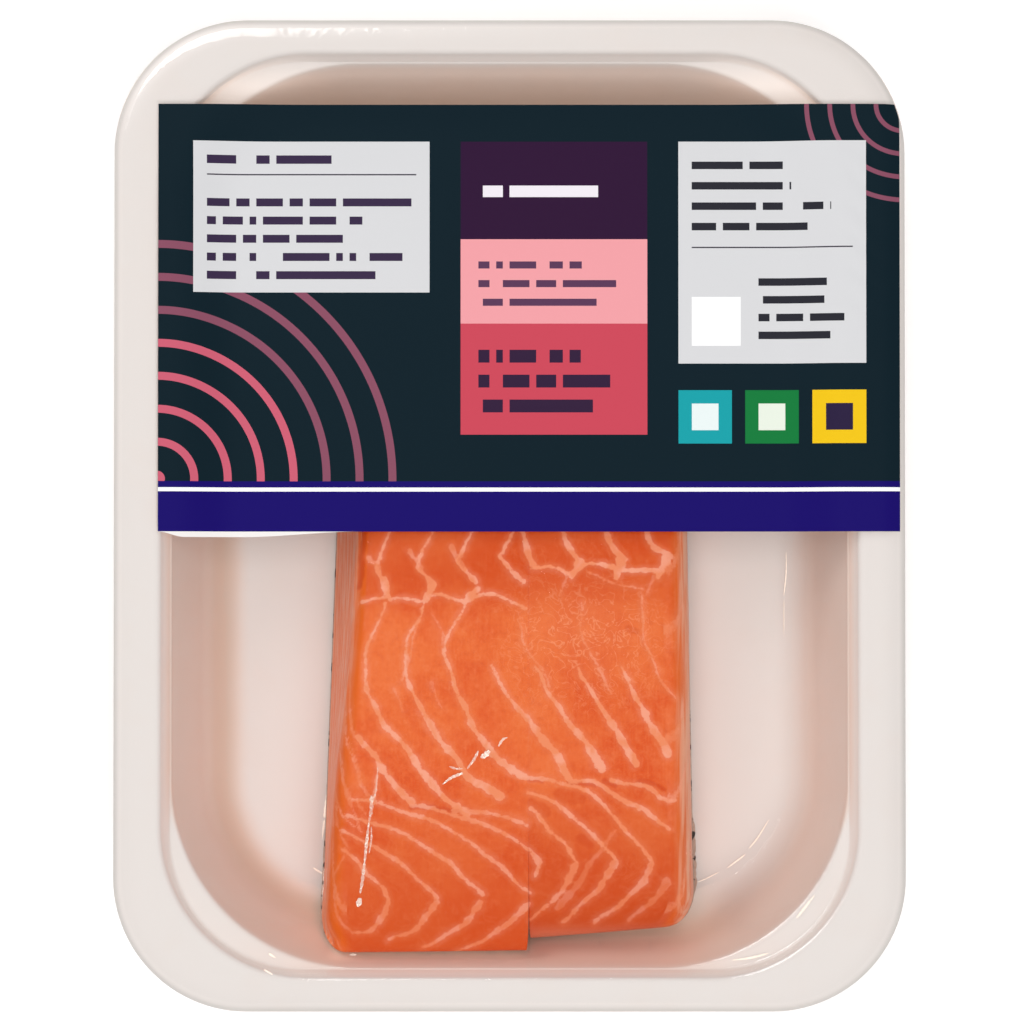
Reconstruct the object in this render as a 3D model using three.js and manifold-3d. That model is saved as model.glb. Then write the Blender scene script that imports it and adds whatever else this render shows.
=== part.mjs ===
// Two smoked salmon fillets, skin-packed side by side on a thermoformed tray under a printed label.
// Lengths are millimetres. +Z is up, the tray's long side runs along Y, and the origin is at the
// middle of the tray's flat base. The thick loin ends of the fillets point to -Y.
import * as THREE from 'three';
import Module from 'manifold-3d';

// Tray: a cream plastic sheet drawn into a shallow dish with a flange that rounds over into a lip.
const OUTLINE = { width: 178, length: 223, corner: 30 };
const TRAY_HEIGHT = 27.2;
const SHEET = 0.8;
const LIP_DROP = 4.2;
const LIP_ROUND = { across: 6, down: 2.8, steps: 6 };

// The mouth is the flange's inner edge. A short step leads down from it to the top of the sloping
// wall, whose corners are rounder, so that a crescent-shaped ledge is left in each corner.
const MOUTH = { width: 156, length: 207, corner: 33 };
const MOUTH_ROUND = { across: 1.2, down: 1.2, steps: 3 };
const STEP = { width: 152.8, length: 204.4, corner: 30, drop: 3.4 };
const WALL_TOP = { width: 152, length: 203.6, corner: 41.5, drop: 3.7 };
const FLOOR = { width: 135, length: 181, corner: 34 };
const FOOT_SHARE = 0.36;
const FOOT_REACH = 8;
const FOOT_STEPS = 4;

// Fillets: cut across the fish, skin down, with the thick loin at one end and the thin belly at
// the other. out is the way from the seam, where the two touch, to the outer side. Each narrows by
// its taper towards the belly, its outer side leans in, and its loin end is cut at a slant. The end's
// top drops and its underside rises, so that it lies against the tray's sloping wall.
const SEAM = 4.3;
const FILLETS = {
  left: {
    out: -1,
    width: 47.4,
    taper: 5.6,
    lean: 3,
    slant: -0.6,
    loinEnd: -98,
    bellyEnd: 50.5,
    loinDrop: 4.4,
    loinRise: 18.2,
  },
  right: {
    out: 1,
    width: 37.9,
    taper: 2.6,
    lean: 0.9,
    slant: 3,
    loinEnd: -95.6,
    bellyEnd: 47.5,
    loinDrop: 7.4,
    loinRise: 13,
  },
};
const SLANT_LENGTH = 40;
const TOUCH_GAP = 0.3;
const LOIN_TOP = 25;
const BELLY_TOP = 13.5;
const LOIN_LENGTH = 62;
const FALL_POWER = 1.6;
const OUTER_EDGE = { across: 5, down: 6.5 };
const SEAM_EDGE = { lean: 0.1, across: 1.2, down: 1 };
const LOIN_NOSE = { length: 15, corner: 9 };
const BELLY_NOSE = { length: 9, drop: 7.5, corner: 6 };
const CORNER_SHARES = { seam: 0.25, outer: 0.7 };
const PROW_LENGTH = 21;
const CROWN = 0.6;
const EDGE_SHARE = 0.8;

// Skin: a thin layer under each fillet that stands out a little at the outer side.
const SKIN_THICK = 0.9;
const SKIN_PROUD = 0.7;
const FLESH_BASE = SHEET + TOUCH_GAP + SKIN_THICK + TOUCH_GAP;

// Film: a clear web sealed on the flange and drawn down over the fillets and the tray.
const FILM_THICK = 0.4;
const FILM_INSET = 1.7;
const FILM_OVER_FLESH = 0.55;
const FILM_BESIDE_FLESH = 1.8;

// Label: a thin printed sheet stuck across the film from flange to flange, sagging onto the fillets.
// Its right side is trimmed with the tray's corner and bends down with the lip, and its front edge
// has an unprinted margin that is widest beside the left flange.
const LABEL = { left: -78.8, right: 87.6, front: -3.8, back: 92.2, thick: 0.25, sag: 3.2 };
const LABEL_BEND = { start: 1.5, end: 18 };
const LABEL_TRIM = 0.5;
const LABEL_MARGIN = { width: 1.25, growsTo: -73, shrinksFrom: -60, endsAt: -34 };

// Fineness of the faceted surfaces.
const CORNER_STEPS = 9;
const FLESH_STATIONS = 24;
const TIP_CROWDING = 0.6;
const FLESH_DETAIL = { base: 6, side: 2, arc: 6, top: 8 };
const FILM_STATIONS = 20;
const FILM_DETAIL = { base: 1, side: 1, arc: 5, top: 4 };
const LABEL_STEPS = { across: 38, along: 12 };
const LABEL_CROWDING = 1.4;
const BELOW_TRAY = -5;

const wasm = await Module();
wasm.setup();

// Linear blend of a and b, and a smooth rise from 0 to 1 between two limits.
const blend = THREE.MathUtils.lerp;
const ease = THREE.MathUtils.smoothstep;

// Triangles that close an end ring: a fan round a middle point or, in the ring of a thin sheet, which
// has none, a strip between its lower and upper halves.
function capFaces(first, count, middle) {
  const faces = [];
  if (middle !== undefined) {
    for (let step = 0; step < count; step += 1) {
      faces.push([first + step, first + ((step + 1) % count), middle]);
    }
    return faces;
  }
  for (let step = 0; step + 1 < count / 2; step += 1) {
    const [a, b] = [first + step, first + step + 1];
    const [c, d] = [first + count - 2 - step, first + count - 1 - step];
    faces.push([a, b, c], [a, c, d]);
  }
  return faces;
}

// A closed body through rings of points: side walls between neighbours and a cap over each end.
// The faces are turned outward by the sign of the body's volume.
function loft(rings, thinSheet = false) {
  const count = rings[0].length;
  const points = rings.flat();
  const faces = [];
  for (let ring = 0; ring + 1 < rings.length; ring += 1) {
    for (let step = 0; step < count; step += 1) {
      const next = (step + 1) % count;
      const [a, b] = [ring * count + step, ring * count + next];
      const [c, d] = [a + count, b + count];
      faces.push([a, b, d], [a, d, c]);
    }
  }
  for (const [first, turn] of [[0, true], [(rings.length - 1) * count, false]]) {
    if (!thinSheet) {
      const middle = new THREE.Vector3();
      for (let step = 0; step < count; step += 1) {
        middle.addScaledVector(points[first + step], 1 / count);
      }
      points.push(middle);
    }
    const cap = capFaces(first, count, thinSheet ? undefined : points.length - 1);
    faces.push(...cap.map(([a, b, c]) => (turn ? [b, a, c] : [a, b, c])));
  }
  const crossed = new THREE.Vector3();
  const volume = faces.reduce(
    (sum, [a, b, c]) => sum + points[a].dot(crossed.crossVectors(points[b], points[c])),
    0,
  );
  const outward = volume > 0 ? faces : faces.map(([a, b, c]) => [a, c, b]);
  const geometry = new THREE.BufferGeometry().setFromPoints(points);
  geometry.setIndex(outward.flat());
  return geometry;
}

// A rounded rectangle of half sizes x and y and corner radius r at height z, as a ring of points.
function ring({ x, y, r, z }) {
  const points = [];
  const corners = [[1, 1], [-1, 1], [-1, -1], [1, -1]];
  corners.forEach(([sideX, sideY], quarter) => {
    for (let step = 0; step <= CORNER_STEPS; step += 1) {
      const angle = (quarter + step / CORNER_STEPS) * (Math.PI / 2);
      const px = sideX * (x - r) + r * Math.cos(angle);
      const py = sideY * (y - r) + r * Math.sin(angle);
      points.push(new THREE.Vector3(px, py, z));
    }
  });
  return points;
}

// The level at height z with the outline of a named opening, grown all round.
function levelOf(opening, z, grow = 0) {
  return { x: opening.width / 2 + grow, y: opening.length / 2 + grow, r: opening.corner + grow, z };
}

// The level a share of the way from one level to another.
function between(a, b, share) {
  return {
    x: blend(a.x, b.x, share),
    y: blend(a.y, b.y, share),
    r: blend(a.r, b.r, share),
    z: blend(a.z, b.z, share),
  };
}

// Levels of a quarter-ellipse edge from the flat top down a vertical side, or back up again.
function roundOver(outline, { across, down, steps }, outward) {
  const levels = [];
  for (let step = 0; step <= steps; step += 1) {
    const angle = (step / steps) * (Math.PI / 2);
    const reach = across * (outward ? Math.sin(angle) : 1 - Math.sin(angle));
    const z = TRAY_HEIGHT - down * (1 - Math.cos(angle));
    levels.push(levelOf(outline, z, outward ? reach - across : reach));
  }
  return outward ? levels.reverse() : levels;
}

// Levels of the tray's upper face from the flange's flat to the edge of the floor.
function dishLevels() {
  const stepFoot = levelOf(STEP, TRAY_HEIGHT - STEP.drop);
  const wallTop = levelOf(WALL_TOP, TRAY_HEIGHT - WALL_TOP.drop);
  const foot = levelOf(FLOOR, SHEET);
  const wallEnd = between(foot, wallTop, FOOT_SHARE);
  const floorEdge = levelOf(FLOOR, SHEET, -FOOT_REACH);
  const levels = [...roundOver(MOUTH, MOUTH_ROUND, false), stepFoot, wallTop];
  for (let step = 0; step <= FOOT_STEPS; step += 1) {
    const share = step / FOOT_STEPS;
    const falling = between(wallEnd, foot, share);
    const running = between(foot, floorEdge, share);
    levels.push(between(falling, running, share));
  }
  return levels;
}

// Levels of the whole upper face, from the lip's lower edge over the flange to the floor.
function trayLevels() {
  const lipEdge = levelOf(OUTLINE, TRAY_HEIGHT - LIP_DROP);
  return [lipEdge, ...roundOver(OUTLINE, LIP_ROUND, true), ...dishLevels()];
}

// The same levels moved square to the sheet: up and inward when distance is positive.
function offsetSheet(levels, distance) {
  return levels.map((level, index) => {
    const before = levels[Math.max(index - 1, 0)];
    const after = levels[index + 1] ?? { x: level.x - 2 * FOOT_REACH, z: level.z };
    const from = index + 1 < levels.length ? before : level;
    const [runX, runZ] = [after.x - from.x, after.z - from.z];
    const length = Math.hypot(runX, runZ);
    const outward = (runZ / length) * distance;
    const upward = (-runX / length) * distance;
    return { x: level.x + outward, y: level.y + outward, r: level.r + outward, z: level.z + upward };
  });
}

// The tray is the sheet between its upper face and the same face moved down by the sheet.
function trayGeometry() {
  const upper = trayLevels();
  const lower = offsetSheet(upper, -SHEET);
  return loft([...upper.toReversed(), ...lower].map(ring));
}

// Height of a fillet's top along Y: level on the loin, falling smoothly to the belly, with both
// ends rounded down.
function fleshTop(fillet, y) {
  const fromLoin = y - fillet.loinEnd;
  const fromBelly = fillet.bellyEnd - y;
  const bodyLength = fillet.bellyEnd - fillet.loinEnd;
  const fall = Math.max(0, (fromLoin - LOIN_LENGTH) / (bodyLength - LOIN_LENGTH));
  const body = LOIN_TOP - (LOIN_TOP - BELLY_TOP) * fall ** FALL_POWER;
  const loinNose = { length: LOIN_NOSE.length, drop: fillet.loinDrop };
  return body - endDrop(fromLoin, loinNose) - endDrop(fromBelly, BELLY_NOSE);
}

// How far a rounded end falls at a distance from its tip, as a quarter ellipse.
function endDrop(distance, { length, drop }) {
  const share = THREE.MathUtils.clamp(1 - distance / length, 0, 1);
  return drop * (1 - Math.sqrt(1 - share ** 2));
}

// How far the plan outline steps in at a distance from the tip, for a rounded corner.
function cornerInset(distance, corner) {
  const share = THREE.MathUtils.clamp(1 - distance / corner, 0, 1);
  return corner * (1 - Math.sqrt(1 - share ** 2));
}

// Height of a fillet's underside: flat on the skin, curving up like a prow at the loin's tip.
function fleshBottom(fillet, y) {
  const share = Math.max(0, 1 - (y - fillet.loinEnd) / PROW_LENGTH);
  return FLESH_BASE + fillet.loinRise * share ** 2;
}

// Across a fillet from the seam: the outer and seam sides at its base, rounded in plan at the tips.
function fleshSides(fillet, y) {
  const along = (y - fillet.loinEnd) / (fillet.bellyEnd - fillet.loinEnd);
  const fromTip = Math.max(0, Math.min(y - fillet.loinEnd, fillet.bellyEnd - y));
  const corner = y - fillet.loinEnd < fillet.bellyEnd - y ? LOIN_NOSE.corner : BELLY_NOSE.corner;
  return {
    seam: TOUCH_GAP / 2 + CORNER_SHARES.seam * cornerInset(fromTip, corner),
    outer: fillet.width - fillet.taper * along - CORNER_SHARES.outer * cornerInset(fromTip, corner),
  };
}

// A point of a fillet in the tray's frame, sheared along Y near the loin's slanted end.
function placed(fillet, across, y, z) {
  const fade = Math.max(0, 1 - (y - fillet.loinEnd) / SLANT_LENGTH);
  const shear = fillet.slant * (across / fillet.width) * fade;
  return new THREE.Vector3(SEAM + fillet.out * across, y + shear, z);
}

// Points of a quarter-ellipse edge, from the side up to the top, or from the top down to the side.
function edgeArc(cornerX, topZ, reach, down, steps, rising) {
  const points = [];
  for (let step = 0; step <= steps; step += 1) {
    const share = rising ? step / steps : 1 - step / steps;
    const angle = share * (Math.PI / 2);
    points.push([cornerX - reach * (1 - Math.cos(angle)), topZ - down * (1 - Math.sin(angle))]);
  }
  return points;
}

// One cross-section of a fillet at y: flat base, leaning sides, rounded upper edges, crowned top.
// The edges shrink where the flesh is thin. beside and above grow the section outward, and skirt
// carries it straight down to a height below its base.
function fleshRing(fillet, y, detail, { beside = 0, above = 0, skirt } = {}) {
  const { seam, outer } = fleshSides(fillet, y);
  const top = fleshTop(fillet, y) + above;
  const low = fleshBottom(fillet, y);
  const height = fleshTop(fillet, y) - low;
  const base = skirt ?? low;
  const outerFoot = outer + beside;
  const seamFoot = seam - beside;
  const squeeze = Math.min(1, (EDGE_SHARE * height) / OUTER_EDGE.down);
  const outerTop = outerFoot - fillet.lean * squeeze;
  const seamTop = seamFoot + SEAM_EDGE.lean * squeeze;
  const outerDown = OUTER_EDGE.down * squeeze;
  const seamDown = SEAM_EDGE.down * squeeze;
  const section = [];
  for (let step = 0; step < detail.base; step += 1) {
    section.push([blend(seamFoot, outerFoot, step / detail.base), base]);
  }
  if (skirt !== undefined) {
    section.push([outerFoot, skirt]);
  }
  for (let step = 0; step < detail.side; step += 1) {
    const share = step / detail.side;
    section.push([blend(outerFoot, outerTop, share), blend(low, top - outerDown, share)]);
  }
  const outerArc = edgeArc(outerTop, top, OUTER_EDGE.across, outerDown, detail.arc, true);
  const seamArc = edgeArc(seamTop, top, -SEAM_EDGE.across, seamDown, detail.arc, false);
  section.push(...outerArc);
  const [outerEdge, seamEdge] = [outerArc.at(-1)[0], seamArc[0][0]];
  for (let step = 1; step < detail.top; step += 1) {
    const share = step / detail.top;
    section.push([blend(outerEdge, seamEdge, share), top + CROWN * Math.sin(Math.PI * share)]);
  }
  section.push(...seamArc);
  for (let step = 1; step < detail.side; step += 1) {
    const share = step / detail.side;
    section.push([blend(seamTop, seamFoot, share), blend(top - seamDown, low, share)]);
  }
  if (skirt !== undefined) {
    section.push([seamFoot, low]);
  }
  return section.map(([across, z]) => placed(fillet, across, y, z));
}

// Shares of a fillet's length from the loin's tip to the belly's tip, closer together at the tips.
function stationShares(count) {
  return Array.from({ length: count + 1 }, (_, step) => {
    const even = step / count;
    const crowded = (1 - Math.cos(even * Math.PI)) / 2;
    return blend(even, crowded, TIP_CROWDING);
  });
}

// The flesh of one fillet.
function filletGeometry(fillet) {
  const rings = stationShares(FLESH_STATIONS).map((share) => {
    const y = blend(fillet.loinEnd, fillet.bellyEnd, share);
    return fleshRing(fillet, y, FLESH_DETAIL);
  });
  return loft(rings);
}

// What the film is drawn over: a fillet grown a little and carried down below the tray's floor.
function filletUnderFilm(fillet, extra) {
  const grow = {
    beside: FILM_BESIDE_FLESH + extra,
    above: FILM_OVER_FLESH + extra,
    skirt: BELOW_TRAY,
  };
  const rings = stationShares(FILM_STATIONS).map((share) => {
    const y = blend(fillet.loinEnd, fillet.bellyEnd, share);
    const beyond = blend(-grow.beside, grow.beside, share);
    return fleshRing(fillet, y, FILM_DETAIL, grow).map((point) => point.setY(point.y + beyond));
  });
  return loft(rings);
}

// The skin of one fillet: a thin strip under the flesh that follows its underside up the prow and
// stops just short of the loin's tip.
function skinGeometry(fillet) {
  const rings = stationShares(FLESH_STATIONS).slice(1).map((share) => {
    const y = blend(fillet.loinEnd, fillet.bellyEnd, share);
    const run = TOUCH_GAP / 2;
    const rise = fleshBottom(fillet, y + run) - fleshBottom(fillet, y - run);
    const steepness = Math.hypot(1, rise / (2 * run));
    const high = fleshBottom(fillet, y) - TOUCH_GAP * steepness;
    const low = high - SKIN_THICK * steepness;
    const { seam, outer } = fleshSides(fillet, y);
    const [near, middle, far] = [seam, (seam + outer) / 2, outer + SKIN_PROUD];
    const section = [[near, low], [middle, low], [far, low], [far, high], [middle, high], [near, high]];
    return section.map(([across, z]) => placed(fillet, across, y, z));
  });
  return loft(rings);
}

// A geometry as a solid of the boolean library, and such a solid as a geometry again.
function solidOf(geometry) {
  return new wasm.Manifold(new wasm.Mesh({
    numProp: 3,
    vertProperties: new Float32Array(geometry.attributes.position.array),
    triVerts: new Uint32Array(geometry.index.array),
  }));
}

function geometryOf(solid) {
  const mesh = solid.getMesh();
  const geometry = new THREE.BufferGeometry();
  geometry.setAttribute('position', new THREE.BufferAttribute(mesh.vertProperties, 3));
  geometry.setIndex(new THREE.BufferAttribute(mesh.triVerts, 1));
  return geometry;
}

// Levels that run inward, from where they pass a half width on.
function cutAt(levels, x) {
  const inner = levels.findIndex((level) => level.x <= x);
  const [before, after] = [levels[inner - 1], levels[inner]];
  const cut = between(before, after, (before.x - x) / (before.x - after.x));
  return [cut, ...levels.slice(inner)];
}

// Everything below one face of the film: the tray's upper face lifted square to the sheet and
// filled down past the base, joined with both fillets grown by the same amount. inset is how far
// inside the tray's outline it stops.
function belowFilm(lift, extra, inset) {
  const face = offsetSheet([...roundOver(OUTLINE, LIP_ROUND, true), ...dishLevels()], lift);
  const levels = inset > 0 ? cutAt(face, OUTLINE.width / 2 - inset) : face;
  const bottom = { ...levels[0], z: BELOW_TRAY - 1 };
  const tray = solidOf(loft([bottom, ...levels].map(ring)));
  const left = solidOf(filletUnderFilm(FILLETS.left, extra));
  const right = solidOf(filletUnderFilm(FILLETS.right, extra));
  return tray.add(left).add(right);
}

// The film is what lies between its two faces, inside its cut edge on the flange.
function filmGeometry() {
  const upper = belowFilm(TOUCH_GAP + FILM_THICK, FILM_THICK, FILM_INSET);
  const lower = belowFilm(TOUCH_GAP, 0, 0);
  return geometryOf(upper.subtract(lower));
}

// How far a point in plan lies inside a rounded rectangle; negative outside it.
function inside({ width, length, corner }, x, y) {
  const beyondX = Math.abs(x) - (width / 2 - corner);
  const beyondY = Math.abs(y) - (length / 2 - corner);
  const outside = Math.hypot(Math.max(beyondX, 0), Math.max(beyondY, 0));
  return corner - outside - Math.min(Math.max(beyondX, beyondY), 0);
}

// The label's right edge at y: straight, then along the tray's rounded corner.
function labelRight(y) {
  const beyond = Math.max(0, y - (OUTLINE.length / 2 - OUTLINE.corner));
  const corner = OUTLINE.width / 2 - OUTLINE.corner + Math.sqrt(OUTLINE.corner ** 2 - beyond ** 2);
  return Math.min(LABEL.right, corner - LABEL_TRIM);
}

// The label's front edge at x: its printed edge and the margin that grows and dies out beyond it.
function labelFront(x) {
  const { width, growsTo, shrinksFrom, endsAt } = LABEL_MARGIN;
  return LABEL.front - width * ease(x, LABEL.left, growsTo) * (1 - ease(x, shrinksFrom, endsAt));
}

// Height of the label's underside: level on the flange, bending down with the lip, with a smooth
// sag inside the mouth.
function labelHeight(x, y) {
  const flat = TRAY_HEIGHT + 2 * TOUCH_GAP + FILM_THICK;
  const sag = LABEL.sag * ease(inside(MOUTH, x, y), LABEL_BEND.start, LABEL_BEND.end);
  return flat - sag - endDrop(inside(OUTLINE, x, y), { length: LIP_ROUND.across, drop: LIP_ROUND.down });
}

// The label as thin cross-sections from its left edge to its right, closer together where it bends
// down with the lip.
function labelGeometry() {
  const rings = [];
  for (let step = 0; step <= LABEL_STEPS.across; step += 1) {
    const share = 1 - (1 - step / LABEL_STEPS.across) ** LABEL_CROWDING;
    const front = labelFront(blend(LABEL.left, LABEL.right, share));
    const section = [];
    for (let row = 0; row <= LABEL_STEPS.along; row += 1) {
      const y = blend(front, LABEL.back, row / LABEL_STEPS.along);
      const x = blend(LABEL.left, labelRight(y), share);
      section.push(new THREE.Vector3(x, y, labelHeight(x, y)));
    }
    const upper = section.map((point) => point.clone().setZ(point.z + LABEL.thick));
    rings.push([...section, ...upper.reverse()]);
  }
  return loft(rings, true);
}

// A named mesh with the finish of its real material.
function part(name, geometry, color, roughness) {
  geometry.computeVertexNormals();
  const material = new THREE.MeshStandardMaterial({ color, roughness, metalness: 0 });
  const mesh = new THREE.Mesh(geometry, material);
  mesh.name = name;
  return mesh;
}

const salmonPack = new THREE.Group();
salmonPack.add(
  part('tray', trayGeometry(), 0xe8dcd4, 0.45),
  part('fillet_left', filletGeometry(FILLETS.left), 0xe56b3b, 0.4),
  part('fillet_right', filletGeometry(FILLETS.right), 0xe46a3a, 0.4),
  part('skin_left', skinGeometry(FILLETS.left), 0x8d8f8e, 0.35),
  part('skin_right', skinGeometry(FILLETS.right), 0x8d8f8e, 0.35),
  part('film', filmGeometry(), 0xf4f4f2, 0.1),
  part('label', labelGeometry(), 0x16282f, 0.35),
);

export default salmonPack;
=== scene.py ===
# Two smoked salmon fillets, skin-packed side by side on a thermoformed tray under a printed label.
# Shapes are worked out in millimetres and put into Blender in metres, in the model's own frame:
# +Z up, +Y along the tray's long side towards the label, the origin under the middle of the base.
import bpy
import numpy as np
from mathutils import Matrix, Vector


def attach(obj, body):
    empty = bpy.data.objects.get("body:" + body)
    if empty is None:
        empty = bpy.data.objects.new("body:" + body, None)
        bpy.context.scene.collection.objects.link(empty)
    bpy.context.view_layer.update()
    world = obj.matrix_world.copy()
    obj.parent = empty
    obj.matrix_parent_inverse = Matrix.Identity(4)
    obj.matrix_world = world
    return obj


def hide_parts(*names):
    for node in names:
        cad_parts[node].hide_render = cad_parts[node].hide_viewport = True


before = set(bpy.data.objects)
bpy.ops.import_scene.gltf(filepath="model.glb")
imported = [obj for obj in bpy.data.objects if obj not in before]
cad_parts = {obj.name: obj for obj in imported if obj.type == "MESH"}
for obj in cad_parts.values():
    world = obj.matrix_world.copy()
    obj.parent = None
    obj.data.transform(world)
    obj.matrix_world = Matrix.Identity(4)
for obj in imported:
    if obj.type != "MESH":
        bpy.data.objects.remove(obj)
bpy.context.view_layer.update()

# ---------------------------------------------------------------------------------------------
# Tray: cream polypropylene sheet, 0.8 mm, drawn over a mould into a shallow dish. The flange rounds
# over into a lip, and a step inside it widens to a crescent-shaped ledge in each rounder corner.
TRAY_HEIGHT = 27.2
SHEET = 0.8
OUTLINE = (89.0, 111.5, 30.0)
LIP_DROP = 4.2
LIP_ROUND = (6.0, 2.8)
MOUTH = (78.0, 103.5, 33.0)
MOUTH_ROUND = (1.2, 1.2)
STEP_FOOT = (76.4, 102.2, 30.0, TRAY_HEIGHT - 3.4)
WALL_TOP = (76.0, 101.8, 41.5, TRAY_HEIGHT - 3.7)
FOOT = (67.5, 90.5, 34.0, SHEET)
FLOOR_EDGE = (59.5, 82.5, 26.0, SHEET)
FLOOR_MIDDLE = (3.0, 26.0, 2.0, SHEET)
FOOT_SHARE = 0.36
FISH_MIDDLE = -0.6
FISH_HALF_WIDTH = 40.0


def linear(code):
    """An sRGB hex colour as linear RGBA: c / 12.92 in the dark, else ((c + 0.055) / 1.055) ** 2.4."""
    srgb = np.array([int(code[start:start + 2], 16) for start in (1, 3, 5)]) / 255
    bright = ((srgb + 0.055) / 1.055) ** 2.4
    return (*np.where(srgb <= 0.04045, srgb / 12.92, bright), 1.0)


def add(tree, kind, inputs=None, out=0, **settings):
    """Adds a shader node with its settings. Inputs are values or other nodes' outputs. Returns one output."""
    made = tree.nodes.new(kind)
    for name, value in settings.items():
        setattr(made, name, value)
    for socket, value in (inputs or {}).items():
        if isinstance(value, bpy.types.NodeSocket):
            tree.links.new(value, made.inputs[socket])
        else:
            made.inputs[socket].default_value = value
    return made.outputs[out] if made.outputs else made


def new_material(name):
    """An empty node material and its tree."""
    material = bpy.data.materials.new(name)
    material.use_nodes = True
    material.node_tree.nodes.clear()
    return material, material.node_tree


def smooth_step(value, low, high):
    """0 below low, 1 above high, and 3 t^2 - 2 t^3 of the share t between."""
    share = np.clip((value - low) / (high - low), 0, 1)
    return share * share * (3 - 2 * share)


def inside(outline, x, y):
    """How far a point lies inside a rounded rectangle: r less the distance from the inner rectangle,
    or plus the depth within it."""
    over_x, over_y = np.abs(x) - (outline[0] - outline[2]), np.abs(y) - (outline[1] - outline[2])
    outside = np.hypot(np.clip(over_x, 0, None), np.clip(over_y, 0, None))
    return outline[2] - outside - np.minimum(np.maximum(over_x, over_y), 0)


def resampled(levels, spacing):
    """Rows of (half width, half length, corner radius, height) respaced evenly along their path, where
    a step's length is the root of its squared changes of width, radius (at 0.4) and height."""
    change = np.diff(levels, axis=0) * [1, 0, 0.4, 1]
    path = np.concatenate([[0], np.cumsum(np.linalg.norm(change, axis=1))])
    places = np.linspace(0, path[-1], int(path[-1] / spacing) + 1)
    return np.stack([np.interp(places, path, column) for column in levels.T], axis=1)


def softened(levels, rounds):
    """Each inner row replaced, rounds times, by a quarter of each neighbour and half of itself."""
    for _ in range(rounds):
        inner = (levels[:-2] + 2 * levels[1:-1] + levels[2:]) / 4
        levels = np.concatenate([levels[:1], inner, levels[-1:]])
    return levels


def rounded_edge(outline, size, outward):
    """Levels of a quarter-ellipse edge of a size (across, down): grown by across (sin a - 1) outward or
    across (1 - sin a) inward, and lowered by down (1 - cos a)."""
    across, down = size
    angle = np.linspace(0, np.pi / 2, 17)[:, None]
    grow = across * (np.sin(angle) - 1) if outward else across * (1 - np.sin(angle))
    height = TRAY_HEIGHT - down * (1 - np.cos(angle))
    levels = np.concatenate([np.array(outline) + grow, height], axis=1)
    return levels[::-1] if outward else levels


def dish_levels(spacing):
    """The mouth's rounded edge, the step, the ledge, the straight wall and the foot's blend, which is a
    curve pulled from the wall towards the foot and on to the floor."""
    foot, wall_top, floor_edge = (np.array(level) for level in (FOOT, WALL_TOP, FLOOR_EDGE))
    wall_end = foot + (wall_top - foot) * FOOT_SHARE
    share = np.linspace(0, 1, 25)[:, None]
    blend = wall_end * (1 - share) ** 2 + foot * 2 * share * (1 - share) + floor_edge * share**2
    edge = rounded_edge(MOUTH, MOUTH_ROUND, False)
    return softened(resampled(np.concatenate([edge, [STEP_FOOT], [WALL_TOP], blend]), spacing), 3)


def upper_levels(spacing, floor_middle, floor_steps):
    """The whole upper face, from the lip's lower edge over the flange and down to the floor's middle."""
    lip_edge = np.array([[*OUTLINE, TRAY_HEIGHT - LIP_DROP]])
    lip = resampled(np.concatenate([lip_edge, rounded_edge(OUTLINE, LIP_ROUND, True)]), spacing)
    dish = dish_levels(spacing)
    flange = lip[-1] + (dish[0] - lip[-1]) * np.linspace(0, 1, 7)[1:-1, None]
    floor = dish[-1] + (np.array(floor_middle) - dish[-1]) * np.linspace(0, 1, floor_steps)[1:, None]
    return np.concatenate([lip, flange, dish, floor])


def moved_square(levels, distance):
    """The levels moved square to the sheet, by its slope over 1.2 mm to either side."""
    change = np.diff(levels, axis=0)[:, [0, 3]]
    path = np.concatenate([[0], np.cumsum(np.linalg.norm(change, axis=1))])
    ahead, behind = np.minimum(path + 1.2, path[-1]), np.maximum(path - 1.2, 0)
    run = [np.interp(ahead, path, levels[:, i]) - np.interp(behind, path, levels[:, i]) for i in (0, 3)]
    length = np.hypot(*run)
    outward = run[1] / length * distance
    return levels + np.stack([outward, outward, outward, -run[0] / length * distance], axis=1)


def rings_of(levels, corner_steps, side_steps):
    """Points of rounded rectangles, one row a level: (+-(x - r) + r cos a, +-(y - r) + r sin a, z) on the
    corners and evenly spaced on the sides between them."""
    quarter = np.repeat(np.arange(4), corner_steps + 1)
    angle = (quarter + np.tile(np.linspace(0, 1, corner_steps + 1), 4)) * np.pi / 2
    x, y, radius, z = (levels[:, i:i + 1] for i in range(4))
    across = np.array([1, -1, -1, 1])[quarter] * (x - radius) + radius * np.cos(angle)
    along = np.array([1, 1, -1, -1])[quarter] * (y - radius) + radius * np.sin(angle)
    corners = np.stack([across, along, z + 0 * angle], axis=-1)
    one = np.concatenate([np.arange(corner_steps), corner_steps + np.arange(side_steps) / side_steps])
    places = (one + (np.arange(4) * (corner_steps + 1))[:, None]).ravel()
    before = np.floor(places).astype(int)
    share = (places - before)[:, None]
    return corners[:, before] * (1 - share) + corners[:, (before + 1) % len(angle)] * share


def grid_faces(rows, columns, around, first=0):
    """Quads between neighbouring points of a grid; around also joins the last column to the first."""
    index = first + np.arange(rows * columns).reshape(rows, columns)
    right = np.roll(index, -1, axis=1) if around else index[:, 1:]
    left = index if around else index[:, :-1]
    return np.stack([left[:-1], right[:-1], right[1:], left[1:]], axis=-1).reshape(-1, 4)


def turned_up(points, faces):
    """The faces, in reverse order if the sum of their crossed diagonals points down."""
    corner = points[faces]
    crossed = np.cross(corner[:, 2] - corner[:, 0], corner[:, 3] - corner[:, 1])
    return faces if crossed[:, 2].sum() > 0 else faces[:, ::-1]


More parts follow.
